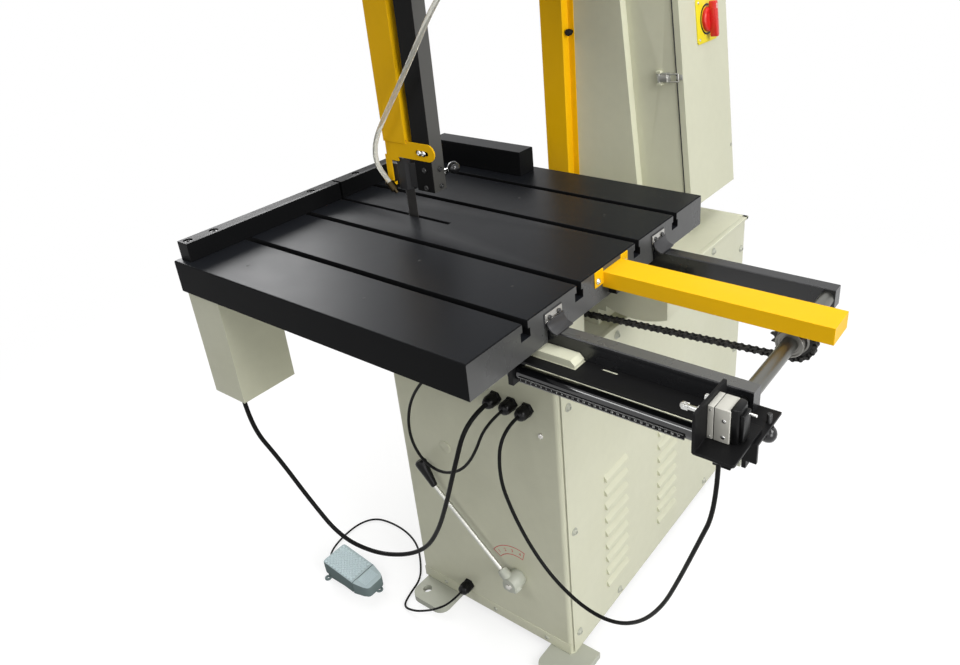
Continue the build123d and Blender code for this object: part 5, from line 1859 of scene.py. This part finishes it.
    def gear_rows(self) -> None:
        """Grows the row of terminals, the fingers of the duct and the wires between them."""
        place, out, up = self.place(), self.facing(RIGHT), self.facing(UP)
        face, (duct_low, duct_high) = self.plate_face, self.duct
        rows = [276 + 8 * step for step in range(self.terminals)]
        tree = Growth("gear_terminals")
        wide = tree.size("Terminal Width", 7.4 * MM)
        body = tree.cube(wide, 44 * MM, 34 * MM)
        nose = tree.move(tree.cube(wide, 22 * MM, 12 * MM), (0, 0, 22 * MM))
        head = tree.cylinder(tree.size("Screw Radius", 2.4 * MM), 3 * MM, 10)
        heads = [tree.move(head, (0, side * 15 * MM, 17.5 * MM)) for side in (-1, 1)]
        one = tree.join(
            tree.painted(tree.join(body, nose), SWITCH_GREY),
            tree.painted(tree.join(*heads), BARE_STEEL, "Screw Finish"),
        )
        points = [(place @ at(face + 24.5, y, self.lower_rail), out, BACK) for y in rows]
        tree.piece(tree.spread(one), points, None, Body.FRAME, "grey_plastic")
        tree = Growth("gear_duct")
        finger = tree.cube(tree.size("Finger Width", 7 * MM), 1.6 * MM, 36 * MM)
        lid = tree.cube(11 * MM, (duct_high - duct_low + 4) * MM, 2 * MM)
        pair = [tree.move(finger, (0, side * (duct_high - duct_low) / 2 * MM, 0)) for side in (-1, 1)]
        caps = [tree.move(lid, (0, 0, side * 18 * MM)) for side in (-1, 1)]
        middle = (duct_low + duct_high) / 2
        columns = [272 + 11 * step for step in range(self.fingers)]
        points = [(place @ at(face + 19.2, y, middle), out, BACK) for y in columns]
        tree.piece(tree.spread(tree.join(*pair, *caps)), points, SWITCH_GREY, Body.FRAME, "grey_plastic")
        tree = Growth("gear_wires")
        wire = tree.cylinder(tree.size("Wire Radius", 1.5 * MM), tree.size("Wire Length", 78 * MM), 8)
        feet = [(y, duct_low - 36) for y in rows]
        feet += [(y, duct_high + 33) for y in (332, 344, 356, 383, 401, 419, 448)]
        points = [(place @ at(face + 30, y, z), up, BACK) for y, z in feet]
        tree.piece(tree.spread(wire), points, CABLE_SHEATH, Body.FRAME, "black_rubber")

    def build(self) -> None:
        """Builds everything on the cabinet and in it."""
        self.switch()
        self.clasp()
        self.seal()
        self.gear()
        place, out = self.place(), self.facing(RIGHT)
        door = ScrewSet(
            "door_screws", Body.CABINET_DOOR, "cream_paint", CREAM_SHADED, 4.4, 2.2, Drive.SLOT, domed=True
        )
        door.build([(place @ at(self.door_face, 478, z), out) for z in (148, 560)])
        plate = ScrewSet(
            "plate_screws", Body.CABINET_DOOR, "bare_steel", BARE_STEEL, 3.2, 1.6, Drive.SLOT, domed=True
        )
        plate.build([(place @ self.on_door(3, y, z), out) for y in (-40, 40) for z in (-40, 40)])


@dataclass
class GearShift:
    """The gear lever with its cast hub, bright rod and black grip, and the plain dial behind it."""

    hub_centre: Pair = (58.0, 182.0)
    face_y: float = -419.0
    rod_level: float = -443.0
    rod_end: Pair = (-142.0, 366.0)
    grip_end: Pair = (-170.0, 409.0)
    dial_radii: Pair = (58.0, 80.0)
    dial_angles: Pair = (74.0, 145.0)
    dial_line: float = 1.5
    dial_steps: int = 26
    numeral: float = 12.0
    gears: int = 4

    def lever(self) -> None:
        """Builds the lever."""
        lever = Shape()
        x, z = self.hub_centre
        boss = [(419.6, 20), (421, 21), (440, 21), (444, 19), (455, 17.5), (455.4, 16), (455.4, 4)]
        lever.lathe(boss, at(x, 0, z), FRONT, HUB_PAINT, 12)
        ends = (self.hub_centre, self.rod_end, self.grip_end)
        start, end, tip = (at(end_x, self.rod_level, end_z) for end_x, end_z in ends)
        reach = (end - start).normalized()
        socket = [(0, 11.5), (30, 11.5), (33, 10), (37, 10), (38, 9), (38, 4)]
        lever.lathe(socket, start, reach, HUB_PAINT)
        lever.lathe([(0, 11.5), (17, 11.5), (21, 10.5), (22, 9), (22, 3)], start, -reach, HUB_PAINT)
        lever.lathe([(0, 11), (22, 11), (24, 9.6), (24, 3)], start, FRONT.cross(reach), HUB_PAINT)
        lever.lathe([(0, 7), (3, 6.4), (3, 2)], at(x, -455.2, z), FRONT, BARE_STEEL, 6)
        length = (end - start).length / MM
        lever.lathe([(30, 4.7), (length + 4, 4.7), (length + 4, 2)], start, reach, ROD_STEEL, 28)
        long = (tip - end).length / MM + 12
        grip = [
            (-3, 6.4), (0, 7.4), (4, 7.8), (long * 0.5, 10.8),
            (long - 7, 13.6), (long - 3, 12.8), (long, 9.5), (long, 3),
        ]
        lever.lathe(grip, end, (tip - end).normalized(), GLAND_PLASTIC, 36)
        lever.piece("gear_shift_lever", Body.GEAR_LEVER, "bare_steel", "gear_lever")

    def on_dial(self, radius: float, angle: float, lift: float = 0.3) -> Vector:
        """A point over the dial's face, in metres."""
        x, z = self.hub_centre
        return at(x + radius * math.cos(angle), self.face_y - lift, z + radius * math.sin(angle))

    def dial(self) -> None:
        """Builds the plain arc dial on the front of the base: an outline and numerals."""
        dial = Shape()
        inner, outer = self.dial_radii
        first, last = (math.radians(a) for a in self.dial_angles)
        steps = self.dial_steps
        angles = [first + (last - first) * step / steps for step in range(steps + 1)]
        push = at(0, 0.35, 0)
        for radius in (inner, outer):
            outline = [self.on_dial(radius, a) for a in angles]
            outline += [self.on_dial(radius - self.dial_line, a) for a in reversed(angles)]
            dial.prism(outline, push, RED_MARK)
        for angle in (first, last):
            after = angle + self.dial_line / outer
            corners = ((inner, angle), (outer, angle), (outer, after), (inner, after))
            dial.prism([self.on_dial(*corner) for corner in corners], push, RED_MARK)
        for number in range(self.gears):
            angle = last - (last - first) * (number + 0.5) / self.gears
            reading = Vector((math.sin(angle), 0, -math.cos(angle)))
            spot = self.on_dial((inner + outer) / 2 - 1, angle, 0.15)
            place = Matrix.Translation(spot) @ turned(FRONT, reading)
            dial.lettering(str(number + 1), self.numeral * MM, place, RED_MARK)
        dial.piece("gear_dial", Body.FRAME, "red_plastic")

    def build(self) -> None:
        """Builds the lever and its dial."""
        self.lever()
        self.dial()


@dataclass
class StopSwitch:
    """The stop bar's scale, the limit switch on its carriage, the plunger and the clamp knob."""

    axis_y: float = -567.0
    axis_z: float = 891.5
    tick_gap: float = 2.0
    number_gap: float = 10.0
    numeral: float = 4.4
    thread_turns: int = 11
    switch_height: float = 52.0
    roller_x: float = 514.0

    def scale(self) -> None:
        """Builds the dark scale strip with its ticks and numerals."""
        low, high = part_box("scale_strip")
        length = (high.x - low.x) / MM
        strip = Shape()
        strip.block(low, high, POWDER_BLACK, 0.3)
        for number in range(int(length / self.number_gap)):
            x = low.x + (number + 0.5) * self.number_gap * MM
            spot = Vector((x, low.y - 0.05 * MM, (low.z + high.z) / 2))
            place = Matrix.Translation(spot) @ turned(FRONT, RIGHT)
            strip.lettering(str(number + 1), self.numeral * MM, place, WHITE_MARK)
        strip.piece("scale_band", Body.FRAME, "bare_steel", "scale_strip")
        tree = Growth("scale_ticks")
        tick = tree.bar(Tick_Width=0.6, Tick_Length=1.5, Tick_Height=0.3)
        points = []
        for step in range(1, int(length / self.tick_gap)):
            x = low.x + step * self.tick_gap * MM
            for z in (low.z + 1.1 * MM, high.z - 1.1 * MM):
                points.append((Vector((x, low.y, z)), FRONT, RIGHT))
        tree.piece(tree.spread(tick), points, WHITE_MARK, Body.FRAME, "bare_steel")

    def switch(self) -> None:
        """Builds the limit switch and its screws."""
        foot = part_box("limit_switch")[0].z / MM + 0.2
        top = foot + self.switch_height
        body = Shape()
        body.block(at(556, -585, foot), at(564.6, -548, top), SWITCH_GREY, 0.8)
        # The switch's dark seam between body and cover.
        body.block(at(564.4, -584.4, foot), at(565.8, -548.6, top - 0.8), HOLE_SHADE_AND_SEAM)
        body.block(at(565.6, -585, foot), at(587.4, -548, top), SWITCH_GREY, 0.9)
        near = ((586, -582.5), (593, -582.5), (597, -580.5), (599, -576))
        far = [(x, -585 - 548 - y) for x, y in reversed(near)]
        body.prism([at(x, y, foot) for x, y in (*near, *far)], at(0, 0, 54), GLAND_PLASTIC, 1.2)
        body.block(at(598.5, -578, foot + 3), at(603.8, -555, foot + 46), GLAND_PLASTIC, 1.2)
        body.rod(at(603, -560, foot + 40), at(614, -560, foot + 40), 2.2, BRIGHT_STEEL, 16)
        axis = at(0, self.axis_y, self.axis_z)
        sleeve = [(534.2, 4.3)]
        for step in range(self.thread_turns):
            sleeve += [(535 + step * 1.5, 6.9), (535.75 + step * 1.5, 6.2)]
        sleeve += [(552, 6.6), (552, 4.3)]
        body.lathe(sleeve, axis, RIGHT, BRIGHT_STEEL, 28, hollow=True)
        nut = [(543.5, 11), (544.2, 11.8), (550.8, 11.8), (551.6, 11), (551.6, 6.4), (543.5, 6.4)]
        body.lathe(nut, axis, RIGHT, BRIGHT_STEEL, 6, hollow=True)
        body.rod(at(538, -553, 906), at(552, -553, 906), 5.0, BRIGHT_STEEL, 6)
        body.piece("limit_switch_body", Body.CARRIAGE, "grey_plastic", "limit_switch")
        large = ScrewSet(
            "switch_screws", Body.CARRIAGE, "bare_steel", BRIGHT_STEEL, 2.9, 1.4, Drive.SLOT, domed=True
        )
        large.build([(at(x, -585, z), FRONT) for x, z in ((579.5, 901), (579, 875))])
        small = ScrewSet(
            "cover_screws", Body.CARRIAGE, "bare_steel", BARE_STEEL, 1.7, 0.8, Drive.SLOT, domed=True
        )
        small.build([(at(560, -585, z), FRONT) for z in (912, 870)])

    def plunger(self) -> None:
        """Builds the roller plunger."""
        y, z = self.axis_y, self.axis_z
        plunger = Shape()
        plunger.lathe([(519, 3.6), (520, 4), (556, 4), (556, 2)], at(0, y, z), RIGHT, BRIGHT_STEEL, 28)
        for side in (-4.4, 2.8):
            low = at(self.roller_x - 3, y + side, z - 4)
            plunger.block(low, low + at(10, 1.6, 8), BRIGHT_STEEL, 0.5)
        wheel = [(-2.4, 5.4), (-1.9, 6), (1.9, 6), (2.4, 5.4), (2.4, 1)]
        plunger.lathe(wheel, at(self.roller_x, y, z), BACK, BARE_STEEL)
        plunger.rod(at(self.roller_x, y - 4.8, z), at(self.roller_x, y + 4.8, z), 1.6, BRIGHT_STEEL, 16)
        plunger.piece("roller_plunger", Body.PLUNGER, "bare_steel", "switch_plunger")

    def knob(self) -> None:
        """Builds the ball knob under the shelf."""
        low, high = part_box("clamp_knob")
        middle = (low + high) / 2
        foot = Vector((middle.x, middle.y, low.z))
        knob = Shape()
        ball = [
            (0, 4), (0.8, 6.4), (3.5, 10), (8, 12.1), (12.5, 12.5),
            (17, 11.6), (21, 9.2), (23, 7.6), (24.6, 7), (24.6, 3),
        ]
        knob.lathe(ball, foot, UP, BALL_BLACK, 36)
        knob.lathe([(22, 3.9), (44.4, 3.9), (45.5, 3.2), (45.5, 1)], foot, UP, SCREW_BLACK, 24)
        knob.piece("shelf_knob", Body.CLAMP_KNOB, "black_plastic", "clamp_knob")

    def build(self) -> None:
        """Builds the pieces on the stop bar."""
        self.scale()
        self.switch()
        self.plunger()
        self.knob()


@dataclass
class FootPedal:
    """The cast foot pedal: a base with a ribbed toe, and a treadle with a diamond tread."""

    left: float = -469.0
    right: float = -323.0
    front: float = -552.0
    back: float = -479.0
    seam: float = -367.0
    pivot_z: float = 24.0
    heel_top: float = 50.0
    seam_top: float = 34.0
    tip_top: float = 27.5
    heel_corner: float = 7.0
    toe_ribs: int = 10
    tread_gap: float = 9.6
    tread_rows: int = 21
    tread_columns: int = 8
    press_slope: float = 0.15
    seam_relief: float = 1.9
    rounding: tuple[Pair, ...] = ((0.0, 2.6), (0.6, 0.8), (2.0, 0.0))

    def top(self, x: float) -> float:
        """Height of the pedal's top.

        Args:
            x: The place along the pedal, in millimetres.

        Returns:
            The height in millimetres.
        """
        if x < self.seam:
            share = (x - self.left) / (self.seam - self.left)
            return self.heel_top + (self.seam_top - self.heel_top) * share
        return self.seam_top + (self.tip_top - self.seam_top) * (x - self.seam) / (self.right - self.seam)

    def skirt(self, x: float) -> float:
        """Height of the lid's lower edge, clear of the floor when pressed and of the cable at the heel."""
        lifted = 1.8 + self.press_slope * max(0.0, self.seam - 5 - x)
        return self.heel_top - 16 if x < self.left + 3 else lifted

    def heel_plan(self, inset: float) -> list[Pair]:
        """Plan of the treadle: square at the seam, rounded at the heel.

        Args:
            inset: How far the plan is drawn in.

        Returns:
            The (x, y) corners in millimetres.
        """
        x0, x1 = self.left - 3 + inset, self.seam - 1.3 - inset * 0.4
        y0, y1 = self.front + 0.4 + inset, self.back - 0.4 - inset
        corner = self.heel_corner
        plan = [(x1, y0), (x1, y1)]
        for first, centre_y in ((1, y1 - corner), (2, y0 + corner)):
            for turn in quarter(first, 4):
                plan.append((x0 + corner + corner * math.cos(turn), centre_y + corner * math.sin(turn)))
        return plan

    def toe_plan(self, inset: float) -> list[Pair]:
        """Plan of the toe: full width at the seam, narrow and rounded at the tip.

        Args:
            inset: How far the plan is drawn in.

        Returns:
            The (x, y) corners in millimetres.
        """
        middle = (self.front + self.back) / 2
        half = (self.back - self.front) / 2 - 0.4 - inset
        tip = self.right - 1 - inset
        sides = [(self.seam, 1.0), (tip - 15, 0.82), (tip - 4, 0.68), (tip - 1, 0.58), (tip, 0.46)]
        plan = [(x, middle - half * share) for x, share in sides]
        return plan + [(x, middle + half * share) for x, share in reversed(sides)]

    def base(self) -> None:
        """Builds the base, its toe, its ears and the ribs on the toe."""
        base = Shape()
        toe = [[at(x, y, 0.0) for x, y in self.toe_plan(0.0)]]
        for inset, drop in self.rounding:
            toe.append([at(x, y, self.top(x) - drop) for x, y in self.toe_plan(inset)])
        # Sides in painted shade, faces that look up in painted light.
        base.loft(toe, PEDAL_SHADED_SIDES, PEDAL_LIT_TOP)
        plan = [(min(max(x, self.left + 1), self.seam - 6.5), y) for x, y in self.heel_plan(3.4)]
        block = [[at(x, y, 0) for x, y in plan], [at(x, y, self.top(x) - 21) for x, y in plan]]
        base.loft(block, PEDAL_SHADED_SIDES)
        ear = [(0, 8.6), (2.6, 8.6), (3.4, 7.8), (3.4, 3.1), (0, 3.1)]
        for x, y in ((self.left + 9, self.front - 1.5), (self.right + 2, -510.0)):
            base.lathe(ear, at(x, y, 0), UP, PEDAL_SHADED_SIDES, 28, hollow=True)
        bush = [(-8, 6), (-7, 7), (3, 7), (3, 3.2), (-8, 3.2)]
        base.lathe(bush, at(self.left, -512, 12), RIGHT, BLACK_PLASTIC, 24, hollow=True)
        pin = self.seam - 5
        base.rod(at(pin, self.front + 5, self.pivot_z), at(pin, self.back - 5, self.pivot_z), 2.4, BARE_STEEL)
        base.piece("pedal_body", Body.FRAME, "pedal_casting", "pedal_base")
        tree = Growth("toe_ribs")
        rib = tree.bar(Rib_Width=1.5, Rib_Length=42, Rib_Height=0.5)
        rows = [self.seam + 5 + step * 2.7 for step in range(self.toe_ribs)]
        points = [(at(x, (self.front + self.back) / 2, self.top(x)), UP, RIGHT) for x in rows]
        # The ribs are painted lighter than the toe's top: a painted highlight.
        tree.piece(tree.spread(rib), points, PEDAL_TREAD_HIGHLIGHT, Body.FRAME, "pedal_casting")

    def treadle(self) -> None:
        """Builds the treadle, a hollow lid, and its diamond tread."""
        treadle = Shape()
        rings = [[at(x, y, self.top(x) - 3.4) for x, y in self.heel_plan(2.6)]]
        for inset in (2.6, 0.0):
            ring = []
            for x, y in self.heel_plan(inset):
                ring.append(at(x - self.seam_relief * (x > self.seam - 5), y, self.skirt(x)))
            rings.append(ring)
        for inset, drop in self.rounding:
            rings.append([at(x, y, self.top(x) - drop) for x, y in self.heel_plan(inset)])
        # Sides in painted shade, faces that look up in painted light.
        treadle.loft(rings, PEDAL_SHADED_SIDES, PEDAL_LIT_TOP)
        treadle.piece("treadle_plate", Body.TREADLE, "pedal_casting", "pedal_treadle")
        tree = Growth("diamond_tread")
        size = tree.size("Stud Size", self.tread_gap * 0.49 * MM)
        stud = tree.cone(tree.times(size, 0.74), size, tree.size("Stud Height", 0.6 * MM), 4)
        down = Vector((self.seam - self.left, 0, self.seam_top - self.heel_top)).normalized()
        points = []
        for row in range(self.tread_rows):
            x = self.left + 5 + row * self.tread_gap / 2
            for column in range(self.tread_columns):
                y = self.front + 6.4 + column * self.tread_gap + (row % 2) * self.tread_gap / 2
                if y < self.back - 6 and x < self.seam - 6:
                    points.append((at(x, y, self.top(x) - 0.1), down.cross(BACK), down))
        # The studs are painted lighter than the treadle's top: a painted highlight.
        tree.piece(tree.spread(stud), points, PEDAL_TREAD_HIGHLIGHT, Body.TREADLE, "pedal_casting")

    def build(self) -> None:
        """Builds the pedal."""
        self.base()
        self.treadle()


@dataclass
class CableGlands:
    """Ribbed cable glands and the hose fitting."""

    ribs: int = 14
    nut_radius: float = 12.9
    nut_middle: float = 15.0

    def gland(self, shape: Shape, foot: Vector, way: Vector, cable: float) -> list[Spot]:
        """Adds one gland.

        Args:
            shape: The mesh it joins.
            foot: Where it stands.
            way: Which way it points.
            cable: Radius of its cable in millimetres.

        Returns:
            The places of the ribs round its nut.
        """
        collar = [(0, 15), (0.6, 15.4), (5.4, 15.4), (6, 14.8), (6, 5)]
        shape.lathe(collar, foot, way, GLAND_PLASTIC, 6)
        tip = cable + 3.0
        nut = [(5.5, 12.2), (7, 12.6), (7.6, 13), (22, 13), (25.5, 12.4), (28.5, 10.8)]
        nut += [(31, tip + 1.4), (32.2, tip), (32.2, cable + 0.25)]
        shape.lathe(nut, foot, way, GLAND_PLASTIC, 36)
        side = way.orthogonal().normalized()
        spots = []
        for step in range(self.ribs):
            outward = Matrix.Rotation(2 * math.pi * step / self.ribs, 3, way) @ side
            spots.append((foot + way * self.nut_middle * MM + outward * self.nut_radius * MM, outward, way))
        return spots

    def build(self) -> None:
        """Builds the glands on each body."""
        sets = {
            Body.FRAME: [
                (at(43, -419, 650), FRONT, 4.75),
                (at(82, -419, 650), FRONT, 3.0),
                (at(120, -419, 650), FRONT, 3.5),
                (at(-98, -419, 68), FRONT, 2.5),
                (at(0, -505, 850), DOWN, 3.0),
            ],
            Body.TABLE: [(at(-462, -645, 641), DOWN, 4.75)],
            Body.CARRIAGE: [(at(573, -580, 862), DOWN, 3.5)],
        }
        for body, places in sets.items():
            shape = Shape()
            ribs = []
            for foot, way, cable in places:
                ribs += self.gland(shape, foot, way, cable)
            nodes = []
            if body is Body.FRAME:
                nodes = ["cable_glands"]
                fitting = [(0, 11.5), (5, 11.5), (6, 10), (12, 10), (14.5, 8), (14.5, 5.6)]
                shape.lathe(fitting, at(-39, -351, 1440), DOWN, BARE_STEEL, 6)
            shape.piece(f"cable_glands_{body.value}", body, "black_plastic", *nodes)
            tree = Growth(f"gland_ribs_{body.value}")
            rib = tree.bar(Rib_Length=12, Rib_Width=1.6, Rib_Height=1.6)
            tree.piece(tree.spread(rib), ribs, GLAND_PLASTIC, body, "black_plastic")


@dataclass
class ControlButtons:
    """The start and stop buttons on the operator's box."""

    face_x: float = -483.0
    start_y: float = -645.0
    stop_y: float = -600.0
    level: float = 791.0

    def build(self) -> None:
        """Builds the buttons and their collars."""
        collars = Shape()
        for y, radius, bore, height in ((self.start_y, 15.0, 11.8, 4.4), (self.stop_y, 14.0, 8.0, 3.4)):
            ring = [(0, radius), (height - 1.2, radius), (height, radius - 1.4), (height, bore), (0, bore)]
            collars.lathe(ring, at(self.face_x, y, self.level), LEFT, BRIGHT_STEEL, 40, hollow=True)
        collars.piece("button_collars", Body.TABLE, "bare_steel")
        start = Shape()
        cap = [(-16, 6), (6, 6), (6, 10.4), (6.6, 11), (11, 11), (12, 10), (11.4, 4)]
        start.lathe(cap, at(self.face_x, self.start_y, self.level), LEFT, GREEN_PLASTIC, 36)
        start.piece("start_cap", Body.START, "green_plastic", "start_button")
        stop = Shape()
        head = [(-16, 6), (10, 6), (10, 17), (11, 19.4), (14, 20), (18, 18.4), (21, 13), (22, 6), (22, 2)]
        stop.lathe(head, at(self.face_x, self.stop_y, self.level), LEFT, RED_PLASTIC, 40)
        stop.piece("stop_mushroom", Body.STOP, "red_plastic", "stop_button")


def main() -> None:
    """Builds the scene in order: camera, light, cables, then every sub-assembly."""
    logging.basicConfig(level=logging.INFO, format="%(name)s %(message)s")
    assemblies = (
        PhotoCamera(), Studio(), *CABLES, ChainFeed(), SawBand(), TableTrim(), FrameTrim(), BladeGuide(),
        CabinetTrim(), GearShift(), StopSwitch(), FootPedal(), CableGlands(), ControlButtons(), *SOFTENED,
    )
    for assembly in assemblies:
        assembly.build()
    for finish, nodes in DRESSED.items():
        dress(finish, *nodes)


if __name__ == "__main__":
    main()
